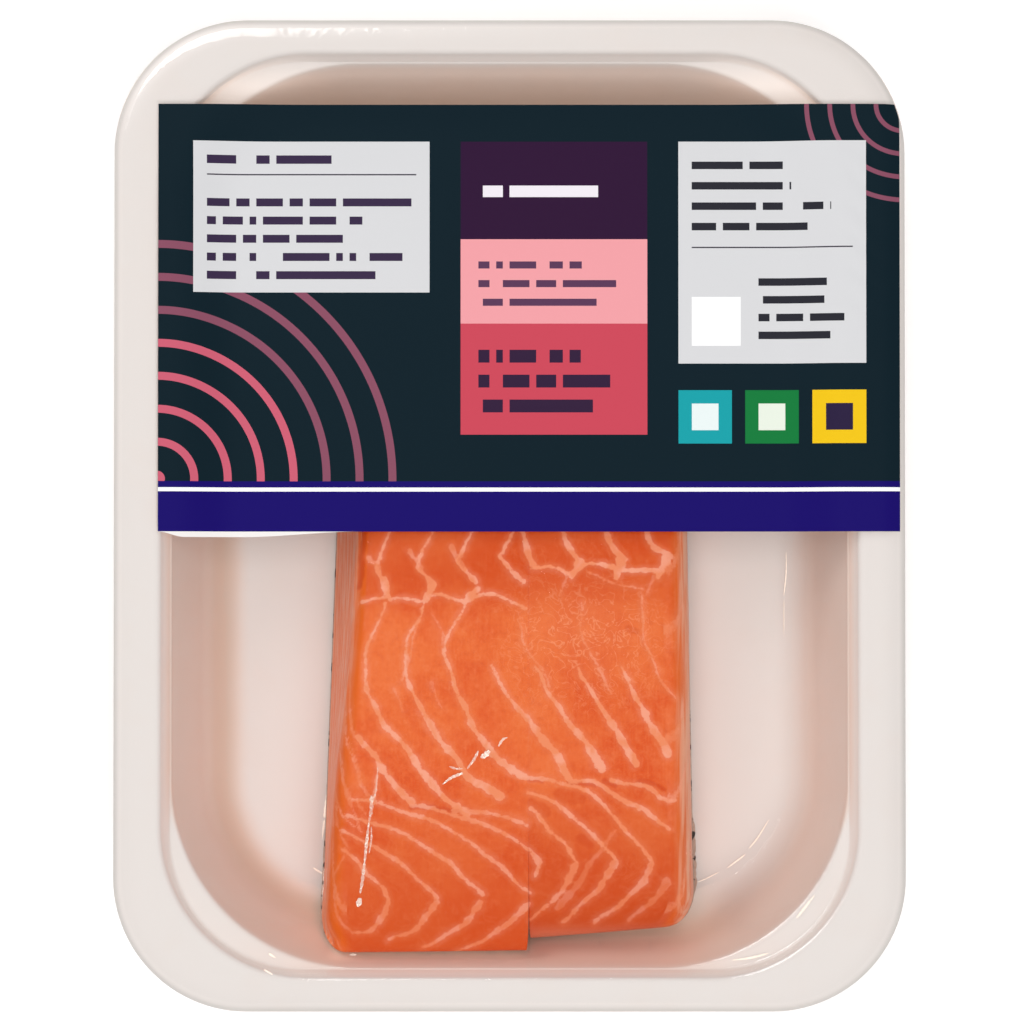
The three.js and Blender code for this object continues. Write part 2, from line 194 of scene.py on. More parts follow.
def add_mesh(name, points, faces, material, sharp=35):
    """A mesh object from points in millimetres and faces, turned outward by the sign of its volume (the
    sum of p . normal x area over its faces, from the lowest point up) and shaded smooth."""
    mesh = bpy.data.meshes.new(name)
    mesh.from_pydata((points / 1000).tolist(), [], [list(face) for face in faces])
    centre = np.empty(len(mesh.polygons) * 3)
    normal = np.empty(len(mesh.polygons) * 3)
    area = np.empty(len(mesh.polygons))
    mesh.polygons.foreach_get("center", centre)
    mesh.polygons.foreach_get("normal", normal)
    mesh.polygons.foreach_get("area", area)
    middle = np.array([0, 0, points[:, 2].min() / 1000 - 0.01])
    if (((centre.reshape(-1, 3) - middle) * normal.reshape(-1, 3)).sum(axis=1) * area).sum() < 0:
        mesh.flip_normals()
    mesh.polygons.foreach_set("use_smooth", np.ones(len(mesh.polygons), bool))
    mesh.set_sharp_from_angle(angle=np.radians(sharp))
    mesh.materials.append(material)
    made = bpy.data.objects.new(name, mesh)
    bpy.context.scene.collection.objects.link(made)
    return made


def add_values(piece, name, values):
    """Stores one number a vertex under a name that the piece's material reads."""
    piece.data.attributes.new(name, "FLOAT", "POINT").data.foreach_set("value", values.astype(np.float32))


def closed_loft(rings):
    """Points and faces of a closed body through rings, with a fan over each end."""
    rows, columns = rings.shape[:2]
    points = np.concatenate([rings.reshape(-1, 3), rings[:1].mean(axis=1), rings[-1:].mean(axis=1)])
    faces = grid_faces(rows, columns, True).tolist()
    first = np.arange(columns)
    for start, pole, turn in ((0, rows * columns, True), ((rows - 1) * columns, rows * columns + 1, False)):
        edge = np.stack([start + first, start + (first + 1) % columns], axis=1)
        edge = edge[:, ::-1] if turn else edge
        faces += np.concatenate([edge, np.full((columns, 1), pole)], axis=1).tolist()
    return points, faces


# The sheet is satin cream. Its walls and their corners get a painted shade, pinker and darker, and
# near the fish a painted warm light bounced from it; a painted grey shade runs along the lip's outer edge.
# A small emission paints light into the shaded corners under the label, by the loin ends and on the step's
# wall. The mould's grain is drawn 0.7 mm wide, coarser than it is, so that it shows.
tray_plastic, tree = new_material("cream_polypropylene_sheet")
place = add(tree, "ShaderNodeTexCoord", out=3)
mottle = add(tree, "ShaderNodeTexNoise", {"Vector": place, "Scale": 90.0, "Detail": 3.0})
wall_shade, at_foot, fish_bounce, lip_edge_shade, carried = (
    add(tree, "ShaderNodeAttribute", out=2, attribute_name=name)
    for name in ("wall_shade", "foot_shade", "painted_fish_bounce_light", "lip_edge_shade", "carried_light")
)
uneven = add(tree, "ShaderNodeMapRange", {0: mottle, 1: 0.3, 2: 0.7, 3: -0.06, 4: 0.06})
# Painted shade on the walls, made uneven by the mottle.
painted_wall_shade = add(tree, "ShaderNodeMath", {0: wall_shade, 1: uneven}, operation="ADD", use_clamp=True)
# Painted warm light bounced from the fish.
painted_fish_glow = add(tree, "ShaderNodeMath", {0: fish_bounce, 1: 0.5}, operation="MULTIPLY", use_clamp=True)
# Painted shade along the lip's outer edge.
painted_lip_shade = add(tree, "ShaderNodeMath", {0: lip_edge_shade, 1: 0.55}, operation="MULTIPLY")
cream = linear("#e7dfda")
for mask, code in [(painted_wall_shade, "#e6cbbb"), (at_foot, "#cbb09c"), (painted_fish_glow, "#f3c0a8"), (painted_lip_shade, "#b9b4ae")]:
    cream = add(tree, "ShaderNodeMix", {0: mask, 6: cream, 7: linear(code)}, 2, data_type="RGBA")
grain = add(tree, "ShaderNodeTexNoise", {"Vector": place, "Scale": 1400.0, "Detail": 2.0})
wave = add(tree, "ShaderNodeTexNoise", {"Vector": place, "Scale": 45.0, "Detail": 1.0})
fine = add(tree, "ShaderNodeBump", {"Strength": 0.06, "Distance": 0.0001, "Height": grain})
soft = add(tree, "ShaderNodeBump", {"Strength": 0.25, "Distance": 0.0008, "Height": wave, "Normal": fine})
rough = add(tree, "ShaderNodeMapRange", {0: mottle, 1: 0.3, 2: 0.7, 3: 0.3, 4: 0.4})
shader = add(tree, "ShaderNodeBsdfPrincipled", {
    "Emission Color": linear("#ffd8bd"), "Emission Strength": carried,
    "Base Color": cream, "Roughness": rough, "Normal": soft, "IOR": 1.49, "Specular IOR Level": 0.3,
})
add(tree, "ShaderNodeOutputMaterial", {"Surface": shader})

upper = upper_levels(0.4, FLOOR_MIDDLE, 12)
lower = moved_square(upper, -SHEET)
rings = rings_of(np.concatenate([upper[::-1], lower]), 26, 10)
tray_points, tray_faces = closed_loft(rings)
tray = add_mesh("tray_sheet", tray_points, tray_faces, tray_plastic, 60)

# What the sheet's material reads at each point: the painted shade on the walls, the shade at the walls' foot,
# the painted shade along the lip's edge, the painted bounce light near the fish, and the painted carried
# light.
tray_x, tray_y, tray_z = tray_points.T
depth = TRAY_HEIGHT - tray_z
from_top = inside(WALL_TOP, tray_x, tray_y)
on_side = smooth_step(np.abs(tray_x), 58, 66) * (1 - smooth_step(np.abs(tray_y), 60, 76))
to_right = smooth_step(tray_x, -20, 40)
# Painted shade over the walls and their corners, fading out towards the floor.
wall_shade_share = 0.65 * smooth_step(from_top + 1.6 * on_side, -0.4, 1.2)
wall_shade_share = wall_shade_share * (1 - smooth_step(from_top + 6 * to_right, 12, 17)) * (depth > 0.3)
add_values(tray, "wall_shade", wall_shade_share)
foot_shade = smooth_step(from_top, 5, 10) * (1 - smooth_step(from_top, 10.5, 15))
add_values(tray, "foot_shade", foot_shade * (0.6 - 0.45 * to_right))
# Painted shade: a grey along the lip's outer edge, where its rounding turns down.
from_outline = OUTLINE[2] - inside(OUTLINE, tray_x, tray_y)
add_values(tray, "lip_edge_shade", smooth_step(from_outline, 28.4, OUTLINE[2]) * (from_outline > 0))
# Painted bounce light: a warm pink tint near the fish, fading over 12 to 14 mm and towards the flange.
beside = np.clip(np.abs(tray_x - FISH_MIDDLE) - FISH_HALF_WIDTH, 0, None)
in_front = np.clip(-97 - tray_y, 0, None)
near = np.exp(-np.hypot(beside / 12, in_front / 14)) * (tray_y < 60) * smooth_step(depth, 1, 4)
add_values(tray, "painted_fish_bounce_light", near * (1 - 0.85 * smooth_step(depth, 19, 25)))
# Painted light: emission that lifts the shade under the label's back edge, in front of the loin ends and at
# the tip.
at_back = smooth_step(tray_y, 84, 93) * (1 - smooth_step(tray_y, 96, 104))
at_loins = smooth_step(-tray_y, 80, 89) * (1 - smooth_step(-tray_y, 92, 99))
at_loins = at_loins * (1 - smooth_step(beside, 0, 14)) * (0.3 + 0.7 * smooth_step(tray_x, -5, 25))
at_tip = smooth_step(-tray_y, 95, 98) * (1 - smooth_step(-tray_y, 99.5, 101)) * (np.abs(tray_x + 18) < 22)
carried_light = (0.16 * at_back + 0.19 * at_loins + 0.12 * at_tip) * (depth > 2) * (tray_z > 1.5)
# Painted light on the step's wall, where it lies in shade.
in_step = smooth_step(depth, 0.4, 1.2) * (1 - smooth_step(depth, 3, 3.5))
in_step = in_step * (from_top < -0.2) * (from_top > -8)
add_values(tray, "carried_light", carried_light + 0.05 * in_step)
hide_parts("tray")
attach(tray, "root")

# ---------------------------------------------------------------------------------------------
# Flesh: two boneless salmon fillets, lightly smoked, cut across the fish and laid side by side.
# The flesh is moist orange muscle in blocks, parted by pale fat lines, and darker at the cut ends.
SEAM = 4.3
LEFT_FILLET = dict(
    out=-1, width=47.4, taper=5.6, lean=1.2, more_lean=3.4, slant=-0.6, loin_end=-98.0, belly_end=50.5,
    loin_drop=4.4, loin_rise=17.7, curl=0.25,
)
RIGHT_FILLET = dict(
    out=1, width=37.9, taper=2.6, lean=0.9, more_lean=-0.6, slant=3, loin_end=-95.6, belly_end=47.5,
    loin_drop=9.0, loin_rise=11.6, curl=0.7,
)
SLANT_LENGTH = 40.0
TOUCH_GAP = 0.3
LOIN_TOP = 25.0
BELLY_TOP = 13.5
LOIN_LENGTH = 62.0
FALL_POWER = 1.6
LOIN_NOSE = 15.0
BELLY_NOSE = (9.0, 7.5)
LOIN_CORNER, BELLY_CORNER = 9.0, 6.0
OUTER_EDGE = (5.0, 6.5)
EDGE_SHARE = 0.8
CROWN = 0.6
INNER_INSET, OUTER_INSET = 0.06, 0.7
BLOCK_LENGTH = 9.6
SIDE_LINES_APART = 4.4
SKIN_THICK = 0.9
SKIN_PROUD = 0.25
SKIN_ROUND = 0.4
FLESH_BASE = SHEET + TOUCH_GAP + SKIN_THICK + TOUCH_GAP
PROW_LENGTH = 21.0

# Fat lines part the muscle into blocks that repeat along the fish, so they come in families. A family
# is: how many lines, half width at their starts and ends, paleness, and the points x, y, x, y ... in
# millimetres of its first line and of its last. The lines between are spread evenly.
FAT_FAMILIES = [
    # The wider fillet, beyond the line that crosses it: zigzags, their side branches and thick knots.
    (4, 0.2, 0.55, 0.9, [-26, -2, -29, -9, -30, -12, -28, -16], [1.5, -2, -1, -8, -2, -10, 3, -15]),
    (3, 0.6, 0.35, 0.6, [-31.5, -9.5, -29.5, -12], [-13, -7.5, -10.5, -11.5]),
    (3, 0.7, 0.55, 1, [-28, -15, -27, -19], [-7, -17, -10, -19.5]),
    (1, 0.25, 0.35, 1, [-33, -19.5, -24, -18.5, -19.5, -19.5, -16, -18, -10, -19, -3, -18, 4, -21], []),
    # Long arcs from that line to the fold, with fainter ones between them.
    (3, 0.2, 0.75, 1, [-28, -20, -32.5, -33, -30, -44, -23, -53, -15, -63, -9, -67],
     [-10, -20, -14.5, -30, -11, -41, -7, -49, -2, -55.5, 4, -59]),
    (2, 0.1, 0.25, 0.5, [-20, -21, -22, -30, -24, -37], [-18.5, -21, -15.5, -26, -14.5, -31]),
    (2, 0.3, 0.15, 0.4, [-26, -39, -24, -44], [-17.5, -38, -15, -44]),
    (1, 0.55, 0.6, 0.95, [-34, -50, -30, -54.5, -26.5, -60, -22, -64.5], []),
    (1, 0.2, 0.3, 0.5, [-37, -76, -39, -81, -39.5, -86, -38, -91, -35, -94], []),
    (3, 0.18, 0.22, 0.55, [-37, -40, -37, -48, -35, -56, -32, -63],
     [-39.5, -52, -39.5, -60, -38, -67, -33, -71]),
    (1, 0.15, 0.4, 0.8, [-29, -56, -30, -61, -31, -65], []),
    # In front of the fold: lines that fan out from the side to tips, and run back from the tips.
    (4, 0.3, 0.4, 0.85, [-36, -63.5, -29, -65, -18, -68.5, -6, -75.5, 4.5, -85],
     [-38, -75, -35.5, -77, -32, -80, -29, -83.5, -27, -86.5]),
    (4, 0.65, 0.25, 0.75, [4, -87.5, 0, -91.5, -6, -95.5, -12, -98.5],
     [-27, -87, -28, -90, -31, -93, -35, -94]),
    (1, 0.35, 0.4, 0.85, [-22, -65, -14, -67, -8, -68.5, 0, -72.5, 5, -75.5], []),
    (1, 0.4, 0.3, 0.8, [-13, -66, -6, -67, 0, -68, 4, -69.5], []),
    (3, 0.15, 0.25, 0.5, [-36, -50, -34, -57, -31, -64.5], [-39.5, -64, -38.5, -70, -36, -75.5]),
    # The narrower fillet, beyond its crossing line.
    (4, 0.4, 0.7, 0.9, [2, -2, 4, -7.5, 5.5, -11], [30, -2, 32.5, -7, 36, -9.5]),
    (3, 0.9, 0.6, 0.95, [15.5, -10.5, 14, -13.5], [35, -10.5, 33.5, -14]),
    (1, 0.3, 0.5, 1, [5, -12, 10, -12, 14, -13, 17, -11, 21, -11.5, 24, -12, 29, -12.5, 34, -13], []),
    (1, 0.2, 0.15, 0.6, [17.5, -13, 21, -14.5, 26, -16, 30, -17], []),
    (3, 0.15, 0.25, 0.6, [2, -22, 3, -28, 6, -33, 9, -38.5], [30, -18, 30, -26, 33, -35, 37, -41]),
    (2, 0.4, 0.2, 0.4, [13, -13.5, 11.5, -18], [32.5, -14, 31, -18]),
    # Its broad slanting lines, the lines in front of the fold and their returns from the tips.
    (4, 0.25, 0.8, 0.95, [-4, -34, 0, -41, 4.5, -46.5, 9, -52, 13.5, -59],
     [25, -34, 28, -40, 30, -44.5, 33, -49, 35.5, -54]),
    (3, 0.35, 0.35, 0.9, [4, -59, 13, -60.5, 19, -63.5, 26, -70.5, 32, -77.5],
     [4.5, -66, 7, -68.5, 9.5, -71.5, 12.5, -74.5, 15.3, -78]),
    (2, 0.4, 0.4, 0.9, [13.5, -59.5, 20, -60.5, 27, -65, 31, -67, 35.5, -70.5],
     [23, -59.5, 27, -60.3, 31, -61.3, 34, -63.5, 37, -64]),
    (3, 0.7, 0.3, 0.75, [32, -78.5, 30, -82.5, 25, -87, 19, -92],
     [15, -78.5, 13.5, -81, 10.5, -85.5, 5, -91]),
    (1, 0.3, 0.8, 0.4, [24, -71, 19, -77, 15, -83, 11, -88], []),
    (1, 0.7, 0.35, 0.5, [35, -82.5, 32, -87, 27, -91], []),
    (1, 0.6, 0.3, 0.8, [5, -76, 6.5, -78, 6, -81], []),
]
# Places where the flesh is darker: partly painted shade in the fold across each fillet and along its back
# edges, partly deeper red flesh between crossing lines.
DARK_AND_SHADED_LINES = [
    (0.3, 0.3, 0.9, [-22, -65.5, -16, -66, -9, -66.5]),
    (0.6, 0.4, 0.8, [-33, -4, -33, -10, -34, -16]),
    (0.3, 0.3, 0.8, [4.5, -59.5, 7.5, -60]),
    (0.4, 0.3, 0.8, [13.5, -60, 16.5, -60.5, 19, -61]),
    (0.4, 0.3, 0.8, [21.5, -60, 24, -60.5]),
    (0.4, 0.3, 0.7, [29.5, -60, 32, -60.5, 34.5, -61.5]),
    (0.9, 0.6, 0.5, [16, -72.5, 18, -74]),
    (1.2, 0.8, 0.4, [11, -62.5, 16, -64]),
    (0.8, 1.2, 0.4, [5, -65, 8, -67]),
    (0.7, 0.5, 0.4, [26.5, -25.5, 28.5, -26]),
]


def end_drop(distance, length, drop):
    """Fall of a rounded end by the distance from its tip: drop (1 - sqrt(1 - s^2)), where s is 1 less the
    distance over the length."""
    share = np.clip(1 - distance / length, 0, 1)
    return drop * (1 - np.sqrt(1 - share**2))


def flesh_top(fillet, y):
    """Level on the loin, then falling by the 1.6th power to the belly, with both ends rounded down."""
    from_loin, from_belly = y - fillet["loin_end"], fillet["belly_end"] - y
    length = fillet["belly_end"] - fillet["loin_end"]
    fall = np.clip((from_loin - LOIN_LENGTH) / (length - LOIN_LENGTH), 0, None)
    body = LOIN_TOP - (LOIN_TOP - BELLY_TOP) * fall**FALL_POWER
    return body - end_drop(from_loin, LOIN_NOSE, fillet["loin_drop"]) - end_drop(from_belly, *BELLY_NOSE)


def flesh_bottom(fillet, y):
    """Flat on the skin, rising as the square of the way to the tip over the loin's last 21 mm."""
    share = np.clip(1 - (y - fillet["loin_end"]) / PROW_LENGTH, 0, None)
    return FLESH_BASE + fillet["loin_rise"] * share**2


def flesh_sides(fillet, y):
    """Distance from the seam of the inner and outer sides at the base, stepping in at the tips."""
    length = fillet["belly_end"] - fillet["loin_end"]
    at_loin = y - fillet["loin_end"] < fillet["belly_end"] - y
    from_tip = np.clip(np.minimum(y - fillet["loin_end"], fillet["belly_end"] - y), 0, None)
    corner = np.where(at_loin, LOIN_CORNER, BELLY_CORNER)
    inset = end_drop(from_tip, corner, corner)
    outer = fillet["width"] - fillet["taper"] * (y - fillet["loin_end"]) / length - OUTER_INSET * inset
    return INNER_INSET * inset, outer


def placed(fillet, across, y, z):
    """Turns across, y and z into points, sheared along Y near the loin's slanted end."""
    fade = np.clip(1 - (y - fillet["loin_end"]) / SLANT_LENGTH, 0, None)
    shear = fillet["slant"] * (across / fillet["width"]) * fade
    return np.stack([SEAM + fillet["out"] * across, y + shear, z + 0 * across], axis=-1)


def section_parts(fillet, y, beside=0.0, above=0.0, counts=(26, 20, 96, 14)):
    """Sections at each y as (across, height) from the outer foot over the top to the inner foot: the
    leaning side, an elliptical edge, the crowned top, the inner edge and the inner side, one after
    another. beside and above grow them outward."""
    side_steps, arc_steps, top_steps, seam_steps = counts
    y = np.asarray(y)[:, None]
    seam, outer = flesh_sides(fillet, y)
    low, top = flesh_bottom(fillet, y), flesh_top(fillet, y)
    edge_across, edge_down = OUTER_EDGE
    squeeze = np.minimum(1, EDGE_SHARE * (top - low) / edge_down)
    top = top + above
    outer, seam = outer + beside, seam - beside
    lean = fillet["lean"] + fillet["more_lean"] * smooth_step(y, -85, -15)
    outer_top = outer - lean * squeeze
    rise = np.linspace(0, 1, side_steps)[:-1]
    arc = np.linspace(0, np.pi / 2, arc_steps)
    run = np.linspace(0, 1, top_steps)[1:-1]
    turn = np.linspace(np.pi / 2, 0, seam_steps)
    sink = np.linspace(0, 1, 10)[1:]
    down = edge_down * squeeze
    open_seam = smooth_step(-y, 62, 92)
    inner_across, inner_down = 0.1 + 0.3 * open_seam, 0.03 + 0.2 * open_seam
    across = np.concatenate([
        outer + (outer_top - outer) * rise,
        outer_top - edge_across * (1 - np.cos(arc)),
        outer_top - edge_across + (seam + inner_across - outer_top + edge_across) * run,
        seam + inner_across * (1 - np.cos(turn)),
        seam + 0 * sink,
    ], axis=1)
    height = np.concatenate([
        low + (top - down - low) * rise,
        top - down * (1 - np.sin(arc)),
        top + CROWN * np.sin(np.pi * run),
        top - inner_down * (1 - np.sin(turn)),
        top - inner_down + (low - top + inner_down) * sink,
    ], axis=1)
    return across, height


def stations(fillet, fine, coarse):
    """Places along a fillet: crowded over 3 mm at both tips, at a fine spacing as far as the label and a
    coarse one below it."""
    loin, belly = fillet["loin_end"], fillet["belly_end"]
    tip = 3 * np.linspace(0, 1, 14) ** 2
    visible = np.arange(loin + 3, 2.0, fine)
    hidden = np.arange(2.0, belly - 3, coarse)
    return np.concatenate([loin + tip[:-1], visible, hidden, belly - tip[::-1]])


def curve_points(row, step=0.25):
    """A line of knots as points step apart on a smooth curve: between knots b and c it is half of
    2b + (c - a)t + (2a - 5b + 4c - d)t^2 + (3b - a - 3c + d)t^3. Each point carries its half width."""
    start, end, paleness, numbers = row
    knots = np.array(numbers, float).reshape(-1, 2)
    ends = np.concatenate([2 * knots[:1] - knots[1:2], knots, 2 * knots[-1:] - knots[-2:-1]])
    a, b, c, d = ends[:-3], ends[1:-2], ends[2:-1], ends[3:]
    count = int(max(2, np.ceil(np.linalg.norm(c - b, axis=1).max() / step)))
    t = np.linspace(0, 1, count, endpoint=False)[:, None, None]
    run = (2 * b + (c - a) * t + (2 * a - 5 * b + 4 * c - d) * t**2 + (3 * b - a - 3 * c + d) * t**3) / 2
    points = np.concatenate([run.transpose(1, 0, 2).reshape(-1, 2), knots[-1:]])
    share = np.linspace(0, 1, len(points))
    return np.column_stack([points, start + (end - start) * share, np.full(len(points), paleness)])


def spread(families):
    """Every line of every family as a row of knots: first + (last - first) k / (count - 1)."""
    rows = []
    for count, start, end, paleness, first, last in families:
        first, last = np.array(first, float), np.array(last or first, float)
        shares = np.linspace(0, 1, count)
        rows += [(start, end, paleness, first + (last - first) * share) for share in shares]
    return rows


def line_field(x, y, rows):
    """For each point: its distance from the nearest line's edge, negative inside, and that line's
    paleness. The distance is to the nearest curve point, less the half width there. The points are
    first shifted by up to 0.3 mm, and the widths changed by up to a half, both by products of sines,
    so that no line is even."""
    curves = np.concatenate([curve_points(row) for row in rows]).astype(np.float32)
    uneven = np.sin(1.9 * curves[:, 0] + 0.9 * curves[:, 1]) * np.sin(1.1 * curves[:, 1] - 0.7 * curves[:, 0])
    curves[:, 2] *= 1.18 + 0.36 * uneven
    x, y = (
        x + 0.26 * np.sin(0.61 * y + 1.4 * np.sin(0.31 * x)) + 0.06 * np.sin(2.3 * y + x),
        y + 0.26 * np.sin(0.53 * x + 1.7 * np.sin(0.27 * y)) + 0.06 * np.sin(2.1 * x - y),
    )
    edge = np.full(len(x), 9.0, np.float32)
    pale = np.zeros(len(x), np.float32)
    near = (y > curves[:, 1].min() - 5) & (y < curves[:, 1].max() + 5)
    places = np.flatnonzero(near)
    for part in np.array_split(places, max(1, len(places) // 700)):
        away = np.hypot(x[part, None] - curves[:, 0], y[part, None] - curves[:, 1]) - curves[:, 2]
        nearest = away.argmin(axis=1)
        edge[part] = away[np.arange(len(part)), nearest]
        pale[part] = curves[nearest, 3]
    return edge, pale


def add_fillet(name, fillet, material):
    """The flesh of one fillet as a closed loft of sections, with a low relief: the muscle blocks stand
    0.16 mm proud of the fat lines. The lines run on down the outer side, 4.4 mm apart, and under the
    label they are plain chevrons 9.6 mm apart."""
    y = stations(fillet, 0.4, 1.3)
    across, height = section_parts(fillet, y)
    base = np.linspace(0, 1, 8)[1:-1]
    foot, inner = across[:, :1], across[:, -1:]
    across = np.concatenate([across, inner + (foot - inner) * base], axis=1)
    height = np.concatenate([height, np.repeat(height[:, :1], 6, axis=1)], axis=1)
    rings = placed(fillet, across, y[:, None], height)
    top = flesh_top(fillet, y)[:, None]
    low_down = np.clip(top - height, 0, None)
    outer = flesh_sides(fillet, y)[1][:, None]
    steep = smooth_step(across, outer - 8, outer - 5)
    x_flat, y_flat = rings[..., 0].ravel(), rings[..., 1].ravel()
    edge, pale = line_field(x_flat, y_flat, spread(FAT_FAMILIES))
    behind = smooth_step(y_flat, -4.5, -3)
    chevron = ((y_flat - 0.5 * np.abs(x_flat - SEAM)) / BLOCK_LENGTH) % 1
    edge = np.where(behind > 0.5, np.abs(chevron - 0.5) * BLOCK_LENGTH - 0.3, edge)
    pale = np.where(behind > 0.5, 0.9, pale)
    level = (low_down - 0.23 * rings[..., 1] + 0.7 * np.sin(rings[..., 1] / 6)) / SIDE_LINES_APART
    side_edge = (np.abs(level % 1 - 0.5) * SIDE_LINES_APART - 0.3).ravel()
    steep = steep.ravel()
    edge = np.where(steep > 0.55, np.minimum(edge + 3 * (low_down.ravel() > 7), side_edge), edge)
    pale = np.where((steep > 0.55) & (side_edge <= edge + 0.001), 0.6, pale)
    relief = 0.16 * smooth_step(edge, -0.2, 0.9) - 0.1
    relief = relief * (1 - smooth_step(low_down.ravel(), 1.5, 5))
    swell = 0.14 * np.sin(x_flat / 7.3 + 1.1) * np.sin(y_flat / 8.9 + x_flat / 19)
    rings[..., 2] += (relief + swell * (low_down.ravel() < 1.2)).reshape(height.shape)
    points, faces = closed_loft(rings)
    piece = add_mesh(name, points, faces, material, 60)
    dark_and_shade, depth_of_dark = line_field(x_flat, y_flat, DARK_AND_SHADED_LINES)
    pad = [0.0, 0.0]
    add_values(piece, "fat_edge", np.append(edge, pad))
    add_values(piece, "fat_paleness", np.append(pale, pad))
    add_values(piece, "dark_edge", np.append(dark_and_shade, pad))
    add_values(piece, "dark_depth", np.append(depth_of_dark, pad))
    add_values(piece, "low_down", np.append(low_down.ravel() * (steep > 0.02), pad))
    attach(piece, "root")
    return piece


# Cured flesh is dense and moist, a deep orange with a soft shine, cloudy in patches of 10 to 20 mm and
# grainy. Its fat is pale pink, with edges ragged over a millimetre. Fibres run along the fillet,
# 0.4 mm apart. The low_down and edge attributes are in millimetres, the coordinates in metres.
salmon_flesh, tree = new_material("smoked_salmon_flesh")
place = add(tree, "ShaderNodeTexCoord", out=3)
patches = add(tree, "ShaderNodeTexNoise", {"Vector": place, "Scale": 55.0, "Detail": 3.0, "Roughness": 0.55})
ragged = add(tree, "ShaderNodeTexNoise", {"Vector": place, "Scale": 1100.0, "Detail": 4.0, "Roughness": 0.65})
grainy = add(tree, "ShaderNodeTexNoise", {"Vector": place, "Scale": 650.0, "Detail": 5.0, "Roughness": 0.7})
cloud = add(tree, "ShaderNodeTexNoise", {"Vector": place, "Scale": 170.0, "Detail": 4.0, "Distortion": 0.6})
stretched = add(tree, "ShaderNodeMapping", {"Vector": place, "Scale": (2400.0, 260.0, 700.0)})
fibres = add(tree, "ShaderNodeTexNoise", {"Vector": stretched, "Scale": 1.0, "Detail": 2.0})
low_down, fat_edge, paleness, dark_edge, dark_depth = (
    add(tree, "ShaderNodeAttribute", out=2, attribute_name=name)
    for name in ("low_down", "fat_edge", "fat_paleness", "dark_edge", "dark_depth")
)
aside, along = add(tree, "ShaderNodeSeparateXYZ", {0: place}).node.outputs[:2]
narrower = add(tree, "ShaderNodeMath", {0: aside, 1: SEAM / 1000}, operation="GREATER_THAN")

# The muscle's own tones: two oranges in patches, then fibres, grain and clouds.
tone = add(tree, "ShaderNodeMapRange", {0: patches, 1: 0.35, 2: 0.65}, interpolation_type="SMOOTHSTEP")
streak = add(tree, "ShaderNodeMapRange", {0: fibres, 1: 0.35, 2: 0.75, 3: 0.0, 4: 0.26})
speck = add(tree, "ShaderNodeMapRange", {0: grainy, 1: 0.5, 2: 0.72, 3: 0.0, 4: 0.34})
deep = add(tree, "ShaderNodeMapRange", {0: grainy, 1: 0.48, 2: 0.3, 3: 0.0, 4: 0.45})
haze = add(tree, "ShaderNodeMapRange", {0: cloud, 1: 0.52, 2: 0.74, 3: 0.0, 4: 0.36})
mid = add(tree, "ShaderNodeMapRange", {0: patches, 1: 0.35, 2: 0.7, 3: 0.1, 4: 0.3})

# It is redder towards the loin ends, most of all on the narrower fillet. By the label it is darker, partly
# the label's painted shadow and partly the thinner flesh there.
to_front = add(tree, "ShaderNodeMapRange", {0: along, 1: -0.058, 2: -0.092, 3: 0.1, 4: 0.8})
deeper = add(tree, "ShaderNodeMath", {0: narrower, 1: to_front}, operation="MULTIPLY")
deeper = add(tree, "ShaderNodeMath", {0: deeper, 1: 0.45}, operation="MULTIPLY")
label_shade_and_thin_flesh = add(tree, "ShaderNodeMapRange", {0: along, 1: -0.026, 2: -0.012, 3: 0.0, 4: 0.55},
               interpolation_type="SMOOTHSTEP")

# A paler patch in the middle, with fine wavy crinkles where the thin silver membrane was torn off.
from_middle = add(tree, "ShaderNodeVectorMath", {0: place, 1: (0.0165, -0.024, 0.024)}, operation="SUBTRACT")
from_middle = add(tree, "ShaderNodeVectorMath", {0: from_middle}, 1, operation="LENGTH")
pale_patch = add(tree, "ShaderNodeMapRange", {0: from_middle, 1: 0.017, 2: 0.004, 3: 0.0, 4: 0.3})
crinkle = add(tree, "ShaderNodeTexNoise", {"Vector": place, "Scale": 260.0, "Detail": 2.0, "Distortion": 1.4})
crinkle = add(tree, "ShaderNodeMath", {0: crinkle, 1: 0.5}, operation="SUBTRACT")
crinkle = add(tree, "ShaderNodeMath", {0: crinkle}, operation="ABSOLUTE")
crinkle = add(tree, "ShaderNodeMapRange", {0: crinkle, 1: 0.03, 2: 0.0, 3: 0.0, 4: 0.5})
wide_patch = add(tree, "ShaderNodeMapRange", {0: from_middle, 1: 0.024, 2: 0.008, 3: 0.12, 4: 0.8})
crinkle = add(tree, "ShaderNodeMath", {0: crinkle, 1: wide_patch}, operation="MULTIPLY")

# The sides: a brighter rim, then a paler band, partly the flesh's own paler side and partly painted sheen of
# the film on it, whose pale streaks are drawn out along the fish.
edge_glow = add(tree, "ShaderNodeMapRange", {0: low_down, 1: 0.0, 2: 0.7, 3: 0.0, 4: 0.75})
to_back = add(tree, "ShaderNodeMapRange", {0: along, 1: -0.062, 2: -0.035, 3: 0.0, 4: 1.0})
starts = add(tree, "ShaderNodeMapRange", {0: to_back, 3: 1.8, 4: 0.5})
sunk = add(tree, "ShaderNodeMath", {0: low_down, 1: starts}, operation="SUBTRACT")
side = add(tree, "ShaderNodeMapRange", {0: sunk, 1: 0.0, 2: 4.0, 3: 0.0, 4: 0.75},
           interpolation_type="SMOOTHSTEP")
drawn_out = add(tree, "ShaderNodeMath", {0: along, 1: 90.0}, operation="MULTIPLY")
side_place = add(tree, "ShaderNodeCombineXYZ", {0: low_down, 1: drawn_out})
side_streaks = add(tree, "ShaderNodeTexNoise", {
    "Vector": side_place, "Scale": 0.9, "Detail": 3.0, "Roughness": 0.6,
})
side_streaks = add(tree, "ShaderNodeMapRange", {0: side_streaks, 1: 0.44, 2: 0.62, 3: 0.0, 4: 1.0})
side_streaks = add(tree, "ShaderNodeMath", {0: side_streaks, 1: side}, operation="MULTIPLY")
